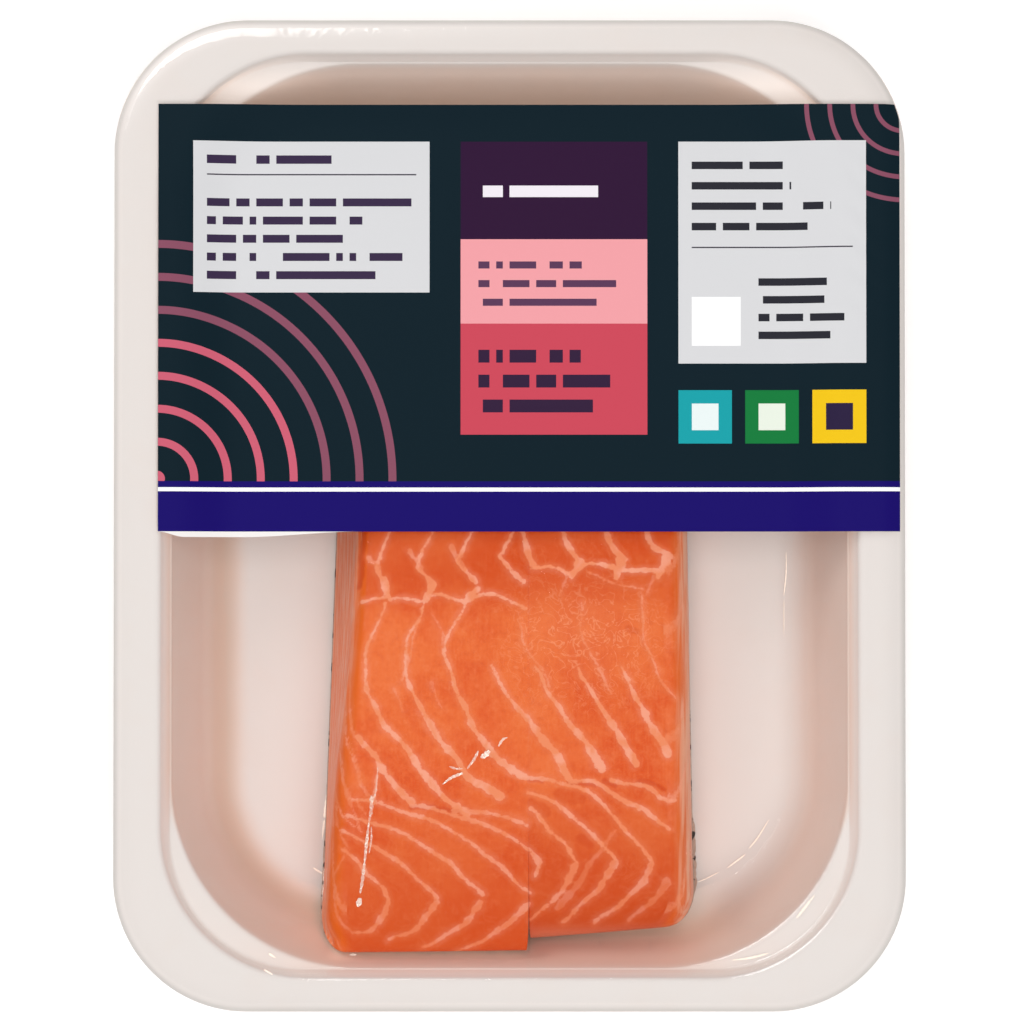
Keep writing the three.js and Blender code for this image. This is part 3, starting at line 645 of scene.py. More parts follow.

# Pale streaks on the narrower fillet's outer edge, partly its fat and partly painted sheen of the film
# gathered there, and a painted whitish sheen of the film where it leaves that loin end.
outer_strip = add(tree, "ShaderNodeMapRange", {0: aside, 1: 0.0366, 2: 0.0398, 3: 0.0, 4: 0.85},
                  interpolation_type="SMOOTHSTEP")
drawn_out = add(tree, "ShaderNodeMapping", {"Vector": place, "Scale": (1300.0, 45.0, 300.0)})
gathers = add(tree, "ShaderNodeTexNoise", {"Vector": drawn_out, "Scale": 1.0, "Detail": 2.0})
gathers = add(tree, "ShaderNodeMapRange", {0: gathers, 1: 0.4, 2: 0.58, 3: 0.2, 4: 1.0})
gathers = add(tree, "ShaderNodeMath", {0: gathers, 1: outer_strip}, operation="MULTIPLY")
at_end = add(tree, "ShaderNodeMapRange", {0: along, 1: -0.091, 2: -0.0962, 3: 0.0, 4: 0.42},
             interpolation_type="SMOOTHSTEP")
at_end = add(tree, "ShaderNodeMath", {0: at_end, 1: narrower}, operation="MULTIPLY")

# The dark lines, partly painted shade, and then each tone over those before it, where its mask is.
dark_and_shade = add(tree, "ShaderNodeMapRange", {0: dark_edge, 1: 0.5, 2: -0.2, 3: 0.0, 4: 0.75},
           interpolation_type="SMOOTHSTEP")
dark_and_shade = add(tree, "ShaderNodeMath", {0: dark_and_shade, 1: dark_depth}, operation="MULTIPLY")
flesh = linear("#dc4e18")
for mask, code in [
    (tone, "#e96828"), (streak, "#ee8048"), (speck, "#f08c58"), (deep, "#cf4210"), (haze, "#ee7845"),
    (mid, "#f08a5c"), (to_front, "#cc4a1a"), (deeper, "#bb3f14"), (pale_patch, "#f18a58"),
    (crinkle, "#f9ab82"), (label_shade_and_thin_flesh, "#cb4714"), (edge_glow, "#e2620f"), (side, "#f27c45"),
    (side_streaks, "#efb094"), (gathers, "#ecb396"), (at_end, "#e39d80"), (dark_and_shade, "#c63a10"),
]:
    flesh = add(tree, "ShaderNodeMix", {0: mask, 6: flesh, 7: linear(code)}, 2, data_type="RGBA")

# Fat: pale where the wandering edge distance is inside a line, with a faint glow through the flesh
# beside it, and fainter towards the loin ends.
wander = add(tree, "ShaderNodeMapRange", {0: ragged, 1: 0.25, 2: 0.75, 3: -0.26, 4: 0.26})
edge = add(tree, "ShaderNodeMath", {0: fat_edge, 1: wander}, operation="ADD")
line = add(tree, "ShaderNodeMapRange", {0: edge, 1: 0.26, 2: -0.2}, interpolation_type="SMOOTHSTEP")
shine_through = add(tree, "ShaderNodeMapRange", {0: fat_edge, 1: 1.4, 2: 0.0, 3: 0.0, 4: 0.22},
                    interpolation_type="SMOOTHSTEP")
line = add(tree, "ShaderNodeMath", {0: line, 1: shine_through}, operation="MAXIMUM")
line = add(tree, "ShaderNodeMath", {0: line, 1: paleness}, operation="MULTIPLY", use_clamp=True)
fainter = add(tree, "ShaderNodeMath", {0: to_front, 1: -0.25, 2: 1.0}, operation="MULTIPLY_ADD")
line = add(tree, "ShaderNodeMath", {0: line, 1: fainter}, operation="MULTIPLY")
fat_tone = add(tree, "ShaderNodeMapRange", {0: cloud, 1: 0.42, 2: 0.62}, interpolation_type="SMOOTHSTEP")
fat_tones = {0: fat_tone, 6: linear("#ec8c62"), 7: linear("#f2a184")}
fat = add(tree, "ShaderNodeMix", fat_tones, 2, data_type="RGBA")
colour = add(tree, "ShaderNodeMix", {0: line, 6: flesh, 7: fat}, 2, data_type="RGBA")
height = add(tree, "ShaderNodeMath", {0: fibres, 1: 0.25}, operation="MULTIPLY")
height = add(tree, "ShaderNodeMath", {0: height, 1: cloud}, operation="ADD")
bumps = add(tree, "ShaderNodeBump", {"Strength": 0.25, "Distance": 0.0005, "Height": height})
shader = add(tree, "ShaderNodeBsdfPrincipled", {
    "Base Color": colour, "Roughness": 0.38, "Normal": bumps, "IOR": 1.38, "Specular IOR Level": 0.2,
})
add(tree, "ShaderNodeOutputMaterial", {"Surface": shader})

left_flesh = add_fillet("fillet_wide", LEFT_FILLET, salmon_flesh)
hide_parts("fillet_left")
right_flesh = add_fillet("fillet_narrow", RIGHT_FILLET, salmon_flesh)
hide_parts("fillet_right")

# ---------------------------------------------------------------------------------------------
# Skin: the fish's own skin, left on under each fillet. It is tough, silver-grey and under 1 mm
# thick, its scales are gone, and its cut edge shows as a ragged dark-flecked strip at the side.
def add_skin(name, fillet, material):
    """A strip 0.9 mm thick that follows the flesh's underside up the prow. Its outer edge stands out
    by 0.25 mm, and by up to 0.8 mm more, in waves, where the skin curls out near the loin's end."""
    y = stations(fillet, 0.8, 2.0)[4:]
    slope = (flesh_bottom(fillet, y + 0.15) - flesh_bottom(fillet, y - 0.15)) / 0.3
    steepness = np.hypot(1, slope)
    high = (flesh_bottom(fillet, y) - TOUCH_GAP * steepness)[:, None]
    low = high - SKIN_THICK * steepness[:, None]
    seam, outer = flesh_sides(fillet, y)
    from_loin = y - fillet["loin_end"]
    wave = smooth_step(from_loin, 6, 10) * (1 - smooth_step(from_loin, 22, 27))
    wave = fillet["curl"] * wave * (0.8 + 0.3 * np.sin(y * 0.9) * np.sin(y * 2.3 + 1))
    edge = (outer + SKIN_PROUD + wave)[:, None] - SKIN_ROUND
    near = seam[:, None]
    run = np.linspace(0, 1, 24)
    round_edge = np.linspace(-np.pi / 2, np.pi / 2, 9)[1:-1]
    middle, half = (high + low) / 2, (high - low) / 2
    across = np.concatenate([
        near + (edge - near) * run,
        edge + SKIN_ROUND * np.cos(round_edge),
        edge + (near - edge) * run,
    ], axis=1)
    height = np.concatenate([
        low + 0 * run,
        middle + half * np.sin(round_edge),
        high + 0 * run,
    ], axis=1)
    points, faces = closed_loft(placed(fillet, across, y[:, None], height))
    piece = add_mesh(name, points, faces, material, 50)
    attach(piece, "root")
    return piece


# Wet fish skin mirrors light softly. Pigment gathers in dark flecks 1 to 2 mm across, over a faint
# net of scale pockets about 2.5 mm wide.
fish_skin, tree = new_material("salmon_skin_scaled")
place = add(tree, "ShaderNodeTexCoord", out=3)
pockets = add(tree, "ShaderNodeTexVoronoi", {"Vector": place, "Scale": 400.0}, feature="DISTANCE_TO_EDGE")
flecks = add(tree, "ShaderNodeTexNoise", {"Vector": place, "Scale": 420.0, "Detail": 3.0})
spots = add(tree, "ShaderNodeMapRange", {0: flecks, 1: 0.57, 2: 0.66}, interpolation_type="SMOOTHSTEP")
net = add(tree, "ShaderNodeMapRange", {0: pockets, 1: 0.0, 2: 0.2, 3: 0.35, 4: 0.0})
silver = add(tree, "ShaderNodeMix", {0: net, 6: linear("#c3a898"), 7: linear("#9a7c6c")}, 2, data_type="RGBA")
colour = add(tree, "ShaderNodeMix", {0: spots, 6: silver, 7: linear("#2e2622")}, 2, data_type="RGBA")
bumps = add(tree, "ShaderNodeBump", {"Strength": 0.4, "Distance": 0.0003, "Height": pockets})
shader = add(tree, "ShaderNodeBsdfPrincipled", {
    "Base Color": colour, "Roughness": 0.32, "Metallic": 0.15, "Normal": bumps, "IOR": 1.45,
})
add(tree, "ShaderNodeOutputMaterial", {"Surface": shader})

left_skin = add_skin("fish_skin_wide", LEFT_FILLET, fish_skin)
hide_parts("skin_left")
right_skin = add_skin("fish_skin_narrow", RIGHT_FILLET, fish_skin)
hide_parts("skin_right")

# ---------------------------------------------------------------------------------------------
# Film: a clear skin-pack web, about 0.1 mm thick, heated, drawn down over the fish and the tray by
# vacuum and sealed on the flange. It bridges the tight corners and creases where it was gathered.
FILM_GAP = 0.32
FILM_OVER_FLESH = 0.4
FILM_EDGE = 87.3
FILM_INNER = (17.0, 40.0, 2.0, SHEET)
FOOT_FLARE = 2.2
ROLL_OUT = 2.6
ROLL_DOWN = (5.0, 6.0)
INNER_SIDE_POINTS = 13

# Creases in millimetres: half width at either end, whiteness of the painted glint, then x, y, x, y ...
FLOOR_CREASES = [
    (0.12, 0.18, 0.8, [63.5, -8, 63.5, -13, 63, -18]),
    (0.12, 0.1, 0.6, [63, -19, 63, -27]),
    (0.1, 0.16, 1, [59.5, -69.5, 57, -73.5, 55, -76]),
    (0.16, 0.14, 1, [54, -77.5, 52, -79, 50, -80.5]),
    (0.12, 0.1, 0.9, [48, -81.5, 45, -83, 42.5, -84]),
    (0.2, 0.4, 1, [-41.5, -61.5, -42, -65, -42.5, -69]),
    (0.35, 0.1, 0.7, [-42.5, -69.5, -43, -74]),
    (0.2, 0.25, 0.9, [-45, -80.5, -43.5, -81.5, -42.5, -82]),
    (0.25, 0.4, 0.7, [68.5, -85.5, 66.5, -88, 64.5, -90.5]),
    (0.2, 0.3, 0.8, [50, -100, 54, -99.5, 58, -98.5]),
    (0.3, 0.2, 0.9, [-54, -98.5, -52.5, -99.5]),
    (0.3, 0.2, 0.9, [-55, -102, -53, -103]),
]
FLESH_CREASES = [
    (0.2, 0.4, 0.9, [-15, -60.5, -13, -59, -10.5, -58]),
    (0.25, 0.35, 0.6, [-9.5, -57, -8, -55, -7, -53]),
    (0.25, 0.2, 0.5, [-13.5, -56.5, -12, -57, -10.5, -57]),
    (0.5, 0.65, 1, [-6.5, -54.5, -5.5, -54, -4.5, -53]),
    (0.3, 0.2, 0.9, [-2.5, -52, -1.5, -50.5, -0.5, -50]),
    (0.15, 0.25, 0.35, [-29.5, -56.5, -30, -62, -31, -65]),
    (0.5, 0.3, 0.4, [-31, -63, -31, -66, -31.5, -69]),
    (0.25, 0.4, 0.6, [-31.5, -69, -32, -73, -32.5, -78]),
    (0.2, 0.2, 0.5, [-31, -70, -31, -73, -31.5, -76]),
    (0.4, 0.3, 0.6, [-32.5, -78, -33, -82, -33.5, -85]),
    (0.7, 0.5, 1, [-33.5, -86, -34, -88]),
    (0.35, 0.2, 0.5, [-36, -99, -34.5, -99]),
]


def tray_height(x, y):
    """Height of the tray's upper face over a point: the levels are crossed where the point's distance
    from their rounded rectangle changes sign, and the height is blended between the two."""
    levels = dish_levels(0.8)
    over_x = np.abs(x)[:, None] - (levels[:, 0] - levels[:, 2])
    over_y = np.abs(y)[:, None] - (levels[:, 1] - levels[:, 2])
    outside = np.hypot(np.clip(over_x, 0, None), np.clip(over_y, 0, None))
    beyond = outside + np.minimum(np.maximum(over_x, over_y), 0) - levels[:, 2]
    after = np.clip((beyond > 0).argmax(axis=1), 1, None)
    rows = np.arange(len(x))
    share = -beyond[rows, after - 1] / np.clip(beyond[rows, after] - beyond[rows, after - 1], 1e-6, None)
    height = levels[after - 1, 3] + (levels[after, 3] - levels[after - 1, 3]) * np.clip(share, 0, 1)
    height = np.where(beyond[:, 0] > 0, TRAY_HEIGHT, height)
    return np.where((beyond <= 0).all(axis=1), SHEET, height)


def film_over_tray():
    """The tray's upper face from the film's cut edge inward, lifted square to the sheet by the film's
    gap, and left out under the fish."""
    levels = upper_levels(0.5, FILM_INNER, 24)
    levels = moved_square(levels[levels[:, 0] < FILM_EDGE], FILM_GAP)
    rings = rings_of(levels, 40, 30)
    faces = grid_faces(*rings.shape[:2], True)
    middle = rings.reshape(-1, 3)[faces].mean(axis=1)
    across = np.abs(middle[:, 0] - SEAM)
    hidden = (middle[:, 1] > -94) & (middle[:, 1] < 46)
    hidden &= across < np.where(middle[:, 0] < SEAM, 40.0, 33.5)
    hidden &= middle[:, 2] < 6
    return rings.reshape(-1, 3), turned_up(rings.reshape(-1, 3), faces[~hidden]).tolist()


def film_over_fish():
    """One sheet over both fillets: each side flares from the floor in a quarter round of 2.2 mm, runs up
    the flesh and over its edge and top, and the two meet in a shallow dip along the seam. Beyond the
    tips it rolls down by a quarter ellipse, and it never goes below the film on the tray."""
    share = np.concatenate([np.linspace(-1, 0, 8)[:-1], np.linspace(0, 1, 220), np.linspace(1, 2, 8)[1:]])
    halves = []
    for fillet in (LEFT_FILLET, RIGHT_FILLET):
        held = np.clip(share, 0, 1)
        tipped = held + 0.35 * (0.5 - 0.5 * np.cos(np.pi * held) - held)
        y = fillet["loin_end"] + (fillet["belly_end"] - fillet["loin_end"]) * tipped
        across, height = section_parts(fillet, y, 0.4, FILM_OVER_FLESH, (16, 12, 52, 12))
        across, height = across[:, :-INNER_SIDE_POINTS], height[:, :-INNER_SIDE_POINTS]
        turn = np.linspace(0, np.pi / 2, 8)[:-1]
        base = SHEET + FILM_GAP
        flare = across[:, :1] + FOOT_FLARE * (1 - np.sin(turn))
        rise = base + FOOT_FLARE * (1 - np.cos(turn)) + 0 * flare
        low = np.maximum(height[:, :1], base + FOOT_FLARE)
        height = np.where(height < low, low + 0 * height, height)
        across = np.concatenate([flare, across], axis=1)
        height = np.concatenate([rise, height], axis=1)
        beyond = np.clip(np.maximum(-share, share - 1), 0, 1)[:, None]
        out = np.where(share < 0, -1.0, 1.0)[:, None] * ROLL_OUT * np.sin(beyond * np.pi / 2)
        height = height - np.where(share < 0, *ROLL_DOWN)[:, None] * (1 - np.cos(beyond * np.pi / 2))
        half = placed(fillet, across, y[:, None], height)
        half[..., 1] += out
        halves.append(half)
    left, right = halves
    dip = (left[:, -1:] + right[:, -1:]) / 2 - [0, 0, 0.1]
    sheet = np.concatenate([left, dip, right[:, ::-1]], axis=1)
    flat = sheet.reshape(-1, 3)
    flat[:, 2] = np.maximum(flat[:, 2], tray_height(flat[:, 0], flat[:, 1]) + FILM_GAP)
    gather = np.sin(flat[:, 1] * 1.7 + 2 * np.sin(flat[:, 1] * 0.31)) * np.sin(flat[:, 0] * 0.23)
    flat[:, 2] += 0.05 * gather
    return flat, turned_up(flat, grid_faces(*sheet.shape[:2], False)).tolist()


def tray_film_height(x, y):
    """Height of the film over a point of the tray: the tray's upper face and the film's gap."""
    return tray_height(x, y) + FILM_GAP + 0.05


def fish_film_height(x, y):
    """Height of the film over a point on a fillet's flat top, which is 39 mm wide on the left and 32 mm
    on the right: the flesh's top with its crown, 0.6 sin(pi s) over the share s of that width, and the
    film's gap."""
    left = flesh_top(LEFT_FILLET, y) + CROWN * np.sin(np.pi * np.clip((SEAM - x) / 39, 0, 1))
    right = flesh_top(RIGHT_FILLET, y) + CROWN * np.sin(np.pi * np.clip((x - SEAM) / 32, 0, 1))
    return np.where(x < SEAM, left, right) + FILM_OVER_FLESH + 0.05


def crease_ridge(row, height_of):
    """A closed ridge along a crease: a flat ellipse, wide by the half width and a third as high, square
    to the curve. It narrows to its ends by a root of the sine and wavers by a fifth."""
    points = curve_points(row, 0.3)
    x, y, half, glint_whiteness = points.T
    ahead = np.gradient(np.stack([x, y]), axis=1)
    ahead = ahead / np.hypot(*ahead)
    ends = np.sin(np.pi * np.linspace(0.02, 0.98, len(x))) ** 0.35
    half = half * ends * (1 + 0.2 * np.sin(x * 5.1 + y * 3.7))
    turn = np.linspace(0, 2 * np.pi, 8, endpoint=False)
    aside = half[:, None] * np.cos(turn)
    rings = np.stack([
        x[:, None] - ahead[1][:, None] * aside,
        y[:, None] + ahead[0][:, None] * aside,
        height_of(x, y)[:, None] + 0.35 * half[:, None] * np.sin(turn),
    ], axis=-1)
    return (*closed_loft(rings), glint_whiteness[0])


# The web is clear and glossy. It shows by its reflections, which grow at grazing angles, and along its
# creases by white patches, partly whitened plastic and partly painted glints that glow faintly. Fine gathers,
# 3 to 6 mm apart, break up the highlights.
film_web, tree = new_material("clear_skin_pack_film")
place = add(tree, "ShaderNodeTexCoord", out=3)
glint_whiteness = add(tree, "ShaderNodeAttribute", out=2, attribute_name="crease_glint_white")
gathers = add(tree, "ShaderNodeTexNoise", {"Vector": place, "Scale": 210.0, "Detail": 3.0, "Distortion": 0.4})
sparkle = add(tree, "ShaderNodeTexNoise", {"Vector": place, "Scale": 1500.0, "Detail": 3.0, "Roughness": 0.6})
clings = add(tree, "ShaderNodeAttribute", out=2, attribute_name="clings_to_fish")
broken = add(tree, "ShaderNodeMath", {0: clings, 1: 0.24, 2: 0.3}, operation="MULTIPLY_ADD")
patchy = add(tree, "ShaderNodeMath", {0: sparkle, 1: broken}, operation="SUBTRACT")
patchy = add(tree, "ShaderNodeMapRange", {0: patchy, 1: 0.0, 2: 0.06, 3: 0.35, 4: 1.0})
painted_glint = add(tree, "ShaderNodeMath", {0: patchy, 1: glint_whiteness}, operation="MULTIPLY")
bumps = add(tree, "ShaderNodeBump", {"Strength": 0.3, "Distance": 0.0006, "Height": gathers})
fine_strength = add(tree, "ShaderNodeMath", {0: clings, 1: 0.35}, operation="MULTIPLY")
bumps = add(tree, "ShaderNodeBump", {
    "Strength": fine_strength, "Distance": 0.0004, "Height": sparkle, "Normal": bumps,
})
facing = add(tree, "ShaderNodeLayerWeight", {"Blend": 0.5, "Normal": bumps}, 1)
grazing = add(tree, "ShaderNodeMath", {0: facing, 1: 4.0}, operation="POWER")
mirrored = add(tree, "ShaderNodeMath", {0: grazing, 1: 0.25, 2: 0.03}, operation="MULTIPLY_ADD")
duller = add(tree, "ShaderNodeMath", {0: clings, 1: -0.8, 2: 1.0}, operation="MULTIPLY_ADD")
mirrored = add(tree, "ShaderNodeMath", {0: mirrored, 1: duller}, operation="MULTIPLY")
gloss = add(tree, "ShaderNodeBsdfAnisotropic", {"Color": (1, 1, 1, 1), "Roughness": 0.09, "Normal": bumps})
clear = add(tree, "ShaderNodeBsdfTransparent", {"Color": (1, 1, 1, 1)})
web = add(tree, "ShaderNodeMixShader", {0: mirrored, 1: clear, 2: gloss})
# Painted glint: a white, faintly glowing shader in broken patches along the creases.
glint_shader = add(tree, "ShaderNodeBsdfPrincipled", {
    "Base Color": linear("#ffeede"), "Roughness": 0.25,
    "Emission Color": linear("#fff0e4"), "Emission Strength": 0.25,
})
body = add(tree, "ShaderNodeMixShader", {0: painted_glint, 1: web, 2: glint_shader})
add(tree, "ShaderNodeOutputMaterial", {"Surface": body})

# Each part of the film: its points and faces, the whiteness of its painted glints, and 1 where it clings to
# the fish.
parts = [(*film_over_tray(), 0.0, 0.0), (*film_over_fish(), 0.0, 1.0)]
parts += [(*crease_ridge(row, tray_film_height), 0.0) for row in FLOOR_CREASES]
parts += [(*crease_ridge(row, fish_film_height), 1.0) for row in FLESH_CREASES]
counts = [len(part[0]) for part in parts]
film_faces = []
for start, part in zip(np.cumsum([0] + counts).tolist(), parts):
    film_faces += [[start + corner for corner in face] for face in part[1]]
film = add_mesh("skin_film", np.concatenate([part[0] for part in parts]), film_faces, film_web, 70)
add_values(film, "crease_glint_white", np.repeat([part[2] for part in parts], counts))
add_values(film, "clings_to_fish", np.repeat([part[3] for part in parts], counts))
film.visible_diffuse = False  # light that other pieces scatter passes the clear web unchanged
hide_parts("film")
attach(film, "root")

# ---------------------------------------------------------------------------------------------
# Label: a 0.25 mm printed film label, stuck from flange to flange across the back half. It sags
# onto the fish inside the mouth, and its front edge has an unprinted margin.
LABEL = dict(left=-78.8, right=87.6, front=-3.8, back=92.2, thick=0.25, sag=3.2, over_flange=1.0)
MARGIN = dict(width=1.25, grows_to=-73, shrinks_from=-60, ends_at=-34)
EDGE_TRIM = 0.5


def label_underside(x, y):
    """Level on the flange, bending down with the lip; inside the mouth it falls 3.2 mm, by a smooth
    step over the distance in."""
    sag = LABEL["sag"] * smooth_step(inside(MOUTH, x, y), 1.5, 18)
    return TRAY_HEIGHT + LABEL["over_flange"] - sag - end_drop(inside(OUTLINE, x, y), *LIP_ROUND)


def label_shell():
    """A sheet between its cut edges: the right one follows the tray's corner, and the front one bulges
    by the margin. Upper and lower faces join round the edge. Small wrinkles lie by the right side."""
    share = np.linspace(0, 1, 150)[:, None]
    x_front = LABEL["left"] + (LABEL["right"] - LABEL["left"]) * share
    margin = MARGIN["width"] * smooth_step(x_front, LABEL["left"], MARGIN["grows_to"])
    margin = margin * (1 - smooth_step(x_front, MARGIN["shrinks_from"], MARGIN["ends_at"]))
    y = (LABEL["front"] - margin) + (LABEL["back"] - LABEL["front"] + margin) * np.linspace(0, 1, 90)
    half_width, half_length, radius = OUTLINE
    past = np.clip(y - (half_length - radius), 0, None)
    corner = half_width - radius + np.sqrt(radius**2 - past**2) - EDGE_TRIM
    x = LABEL["left"] + (np.minimum(LABEL["right"], corner) - LABEL["left"]) * share
    low = label_underside(x, y)
    wrinkle = np.exp(-(((x - 79) / 5) ** 2)) * smooth_step(y, 40, 50) * (1 - smooth_step(y, 78, 86))
    low = low + 0.12 * wrinkle * np.sin(y * 0.9 + 2.5 * np.sin(x * 0.4))
    top = np.stack([x, y, low + LABEL["thick"]], axis=-1)
    bottom = np.stack([x, y, low], axis=-1)
    return closed_loft(np.concatenate([bottom, top[:, ::-1]], axis=1))


# Printed film is satin. The print is a plain design: a dark blue ground with flat fields of colour,
# fine rules, rows of short bars where a pack has small print, and rings like ripples on water.
printed_film, tree = new_material("printed_label_film")
place = add(tree, "ShaderNodeTexCoord", out=3)
in_mm = add(tree, "ShaderNodeVectorMath", {0: place, 1: (1000.0, 1000.0, 1000.0)}, operation="MULTIPLY")
x_mm, y_mm = add(tree, "ShaderNodeSeparateXYZ", {0: in_mm}).node.outputs[:2]


def field(left, right, front, back):
    """Mask of a printed rectangle: |x - middle| within half its width, times the same for y."""
    half_x = {0: x_mm, 1: (left + right) / 2, 2: (right - left) / 2}
    half_y = {0: y_mm, 1: (front + back) / 2, 2: (back - front) / 2}
    across = add(tree, "ShaderNodeMath", half_x, operation="COMPARE")
    along = add(tree, "ShaderNodeMath", half_y, operation="COMPARE")
    return add(tree, "ShaderNodeMath", {0: across, 1: along}, operation="MULTIPLY")


def small_print(left, right, front, pitch, count, height, ragged_by):
    """Mask of rows of short bars: the share of y over the pitch below height, where the white noise of
    a 1.5 mm cell of x passes, cut at a right margin that the row's own noise moves."""
    rows = add(tree, "ShaderNodeMath", {0: y_mm, 1: 1 / pitch, 2: -front / pitch}, operation="MULTIPLY_ADD")
    row = add(tree, "ShaderNodeMath", {0: rows}, operation="FLOOR")
    place_in_row = add(tree, "ShaderNodeMath", {0: rows}, operation="FRACT")
    inked = add(tree, "ShaderNodeMath", {0: place_in_row, 1: height / pitch}, operation="LESS_THAN")
    cell = add(tree, "ShaderNodeMath", {0: x_mm, 1: 1.5}, operation="DIVIDE")
    cell = add(tree, "ShaderNodeMath", {0: cell}, operation="FLOOR")
    key = add(tree, "ShaderNodeCombineXYZ", {0: cell, 1: row, 2: left})
    word = add(tree, "ShaderNodeTexWhiteNoise", {"Vector": key})
    word = add(tree, "ShaderNodeMath", {0: word, 1: 0.2}, operation="GREATER_THAN")
    own = add(tree, "ShaderNodeTexWhiteNoise", {"W": row}, noise_dimensions="1D")
    margin = add(tree, "ShaderNodeMath", {0: own, 1: -ragged_by, 2: right}, operation="MULTIPLY_ADD")
    kept = add(tree, "ShaderNodeMath", {0: x_mm, 1: margin}, operation="LESS_THAN")
    mask = field(left, right, front, front + pitch * count)
    for part in (inked, word, kept):
        mask = add(tree, "ShaderNodeMath", {0: mask, 1: part}, operation="MULTIPLY")
    return mask


def ripples(x, y, pitch, share, reach):
    """Mask of rings round a point: the fraction of the distance over the pitch below a share, out to
    the reach."""
    away_x = add(tree, "ShaderNodeMath", {0: x_mm, 1: x}, operation="SUBTRACT")
    away_y = add(tree, "ShaderNodeMath", {0: y_mm, 1: y}, operation="SUBTRACT")
    offset = add(tree, "ShaderNodeCombineXYZ", {0: away_x, 1: away_y})
    away = add(tree, "ShaderNodeVectorMath", {0: offset}, 1, operation="LENGTH")
    turns = add(tree, "ShaderNodeMath", {0: away, 1: pitch}, operation="DIVIDE")
    turns = add(tree, "ShaderNodeMath", {0: turns}, operation="FRACT")
    ring = add(tree, "ShaderNodeMath", {0: turns, 1: share}, operation="LESS_THAN")
    near = add(tree, "ShaderNodeMath", {0: away, 1: reach}, operation="LESS_THAN")
    return add(tree, "ShaderNodeMath", {0: ring, 1: near}, operation="MULTIPLY")


def inked(below, mask, code):
    """One more ink over those below, where its mask is."""
    return add(tree, "ShaderNodeMix", {0: mask, 6: below, 7: linear(code)}, 2, data_type="RGBA")


# Each printed field: left, right, front and back edge in millimetres, and its ink.
FRONT_FIELDS = [
    (-79, 90, -4, 7.5, "#190b69"), (-79, 90, 5.2, 6.1, "#ffffff"),
    (-71, -18, 50, 84, "#d8d8da"), (-68, -21, 76.4, 76.7, "#3b3540"),
    (-11, 31, 18, 43, "#cb495a"), (-11, 31, 43, 62, "#f0a0a6"), (-11, 31, 62, 84, "#301536"),
    (38, 80, 34, 84, "#d8d8da"), (41, 77, 60, 60.3, "#3b3540"), (41, 52, 38, 49, "#ffffff"),
    (38, 50, 16, 28, "#1aa0a8"), (53, 65, 16, 28, "#157a3c"), (68, 80, 16, 28, "#f0c419"),
    (41, 47, 19, 25, "#e9f3f2"), (56, 62, 19, 25, "#e8f0e2"), (71, 77, 19, 25, "#2c2140"),
]
# Each block of small print: left, right, front, row pitch, rows, bar height, raggedness and ink.
SMALL_PRINT = [
    (-68, -22, 53, 4.1, 5, 1.8, 14, "#3a2c48"), (-68, -40, 79, 3, 1, 1.9, 0.1, "#3a2c48"),
    (-7, 24, 23, 5.6, 3, 2.9, 9, "#34203c"), (-7, 26, 47, 4.2, 3, 1.6, 11, "#5b3a58"),
    (-7, 20, 71.5, 4, 1, 2.6, 0.1, "#efe9f0"), (41, 74, 64, 4.6, 4, 1.7, 12, "#2b2b33"),
    (56, 76, 39.5, 4, 4, 1.7, 6, "#2b2b33"),
]
ink = inked(linear("#0d2029"), ripples(-79, 8, 7.4, 0.24, 58), "#8a4f63")
ink = inked(ink, ripples(-79, 8, 7.4, 0.24, 37), "#cd5f74")
ink = inked(ink, ripples(88, 92, 5.2, 0.2, 22), "#8a4f63")
for left, right, front, back, code in FRONT_FIELDS:
    ink = inked(ink, field(left, right, front, back), code)
for *block, code in SMALL_PRINT:
    ink = inked(ink, small_print(*block), code)
ink = inked(ink, field(-90, 90, -6, -3.8), "#f3efec")
under = add(tree, "ShaderNodeAttribute", out=2, attribute_name="underside")
ink = add(tree, "ShaderNodeMix", {0: under, 6: ink, 7: linear("#e9e6e4")}, 2, data_type="RGBA")
ripple = add(tree, "ShaderNodeTexNoise", {"Vector": place, "Scale": 70.0, "Detail": 2.0})
bumps = add(tree, "ShaderNodeBump", {"Strength": 0.12, "Distance": 0.001, "Height": ripple})
shader = add(tree, "ShaderNodeBsdfPrincipled", {
    "Base Color": ink, "Roughness": 0.3, "Normal": bumps, "Specular IOR Level": 0.1,
})
add(tree, "ShaderNodeOutputMaterial", {"Surface": shader})

label_points, label_faces = label_shell()
label = add_mesh("printed_label", label_points, label_faces, printed_film, 45)
lift = label_points[:, 2] - label_underside(label_points[:, 0], label_points[:, 1])
add_values(label, "underside", (lift < LABEL["thick"] / 2).astype(float))
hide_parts("label")
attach(label, "root")

# ---------------------------------------------------------------------------------------------
# Floor, light and camera: a faintly lit white studio table, a soft surround, soft lights from the back
# left, the front and above, a flat one that only the rims mirror, and a camera almost overhead.
white_table, tree = new_material("white_studio_table")
place = add(tree, "ShaderNodeTexCoord", out=3)
tone = add(tree, "ShaderNodeTexNoise", {"Vector": place, "Scale": 3.0, "Detail": 2.0})
paint = add(tree, "ShaderNodeMix", {0: tone, 6: linear("#fbfbfb"), 7: linear("#fcfcfc")}, 2, data_type="RGBA")
shader = add(tree, "ShaderNodeBsdfPrincipled", {
    "Base Color": paint, "Roughness": 0.7, "Emission Color": paint, "Emission Strength": 0.2,
})
add(tree, "ShaderNodeOutputMaterial", {"Surface": shader})
TABLE_REACH = 3000
TABLE_POINTS = 9
reach = np.linspace(-TABLE_REACH, TABLE_REACH, TABLE_POINTS)
table_x, table_y = np.meshgrid(reach, reach)
table_points = np.stack([table_x.ravel(), table_y.ravel(), np.full(table_x.size, -0.05)], axis=1)
table = add_mesh("studio_table", table_points, grid_faces(TABLE_POINTS, TABLE_POINTS, False), white_table)

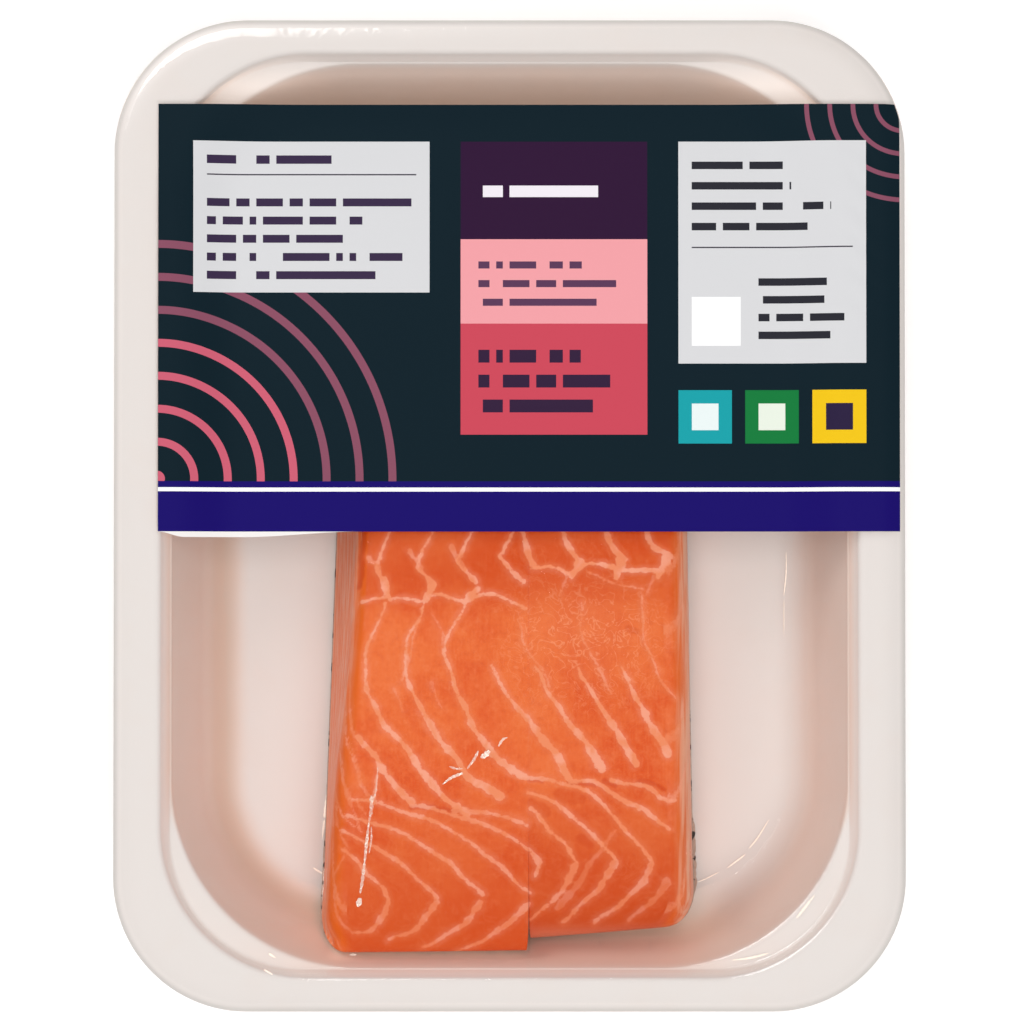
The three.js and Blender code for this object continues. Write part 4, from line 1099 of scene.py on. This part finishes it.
world = bpy.data.worlds.new("studio_surround")
bpy.context.scene.world = world
world.use_nodes = True
world.node_tree.nodes["Background"].inputs["Color"].default_value = (1.0, 1.0, 1.0, 1.0)
world.node_tree.nodes["Background"].inputs["Strength"].default_value = 0.39


def add_soft_light(name, place, aim, width, height, power, turn=0):
    """A rectangular soft light at a place in metres, its -Z axis turned to the aim, and then turned
    about that axis by so many degrees."""
    lamp = bpy.data.lights.new(name, "AREA")
    lamp.shape = "RECTANGLE"
    lamp.size, lamp.size_y, lamp.energy = width, height, power
    made = bpy.data.objects.new(name, lamp)
    made.location = place
    made.rotation_euler = (Vector(aim) - Vector(place)).to_track_quat("-Z", "Y").to_euler()
    made.rotation_euler.rotate_axis("Z", np.radians(turn))
    bpy.context.scene.collection.objects.link(made)
    return made


add_soft_light("key_softbox", (-0.75, 0.8, 0.75), (0, 0, 0.02), 0.9, 0.7, 4.0)
front = add_soft_light("front_softbox", (0.25, -0.8, 1.3), (0, 0, 0.02), 1.0, 0.8, 8.0)
front.visible_glossy = False
overhead = add_soft_light("overhead_panel", (0, 0, 1.6), (0, 0, 0.02), 1.0, 1.0, 8.5)
overhead.visible_glossy = False
rim_light = add_soft_light("rim_softbox", (-0.41, 0.69, 0.5), (-0.41, 0.69, 0), 0.72, 0.64, 10.0, -6)
rim_light.visible_diffuse = False

# The camera looks at the flange's height from 1.05 m away, and takes in 230 mm there.
VIEW_WIDTH = 0.2297
SENSOR_WIDTH = 36
camera = bpy.data.objects.new("camera", bpy.data.cameras.new("camera"))
target = Vector((0.00056, 0.00056, TRAY_HEIGHT / 1000))
elevation = np.radians(88.7)
distance = 1.05
camera.location = target + Vector((0.0, -distance * np.cos(elevation), distance * np.sin(elevation)))
camera.rotation_euler = (target - camera.location).to_track_quat("-Z", "Y").to_euler()
camera.data.lens = SENSOR_WIDTH * distance / VIEW_WIDTH
bpy.context.scene.collection.objects.link(camera)
bpy.context.scene.camera = camera
bpy.context.scene.view_settings.view_transform = "Standard"
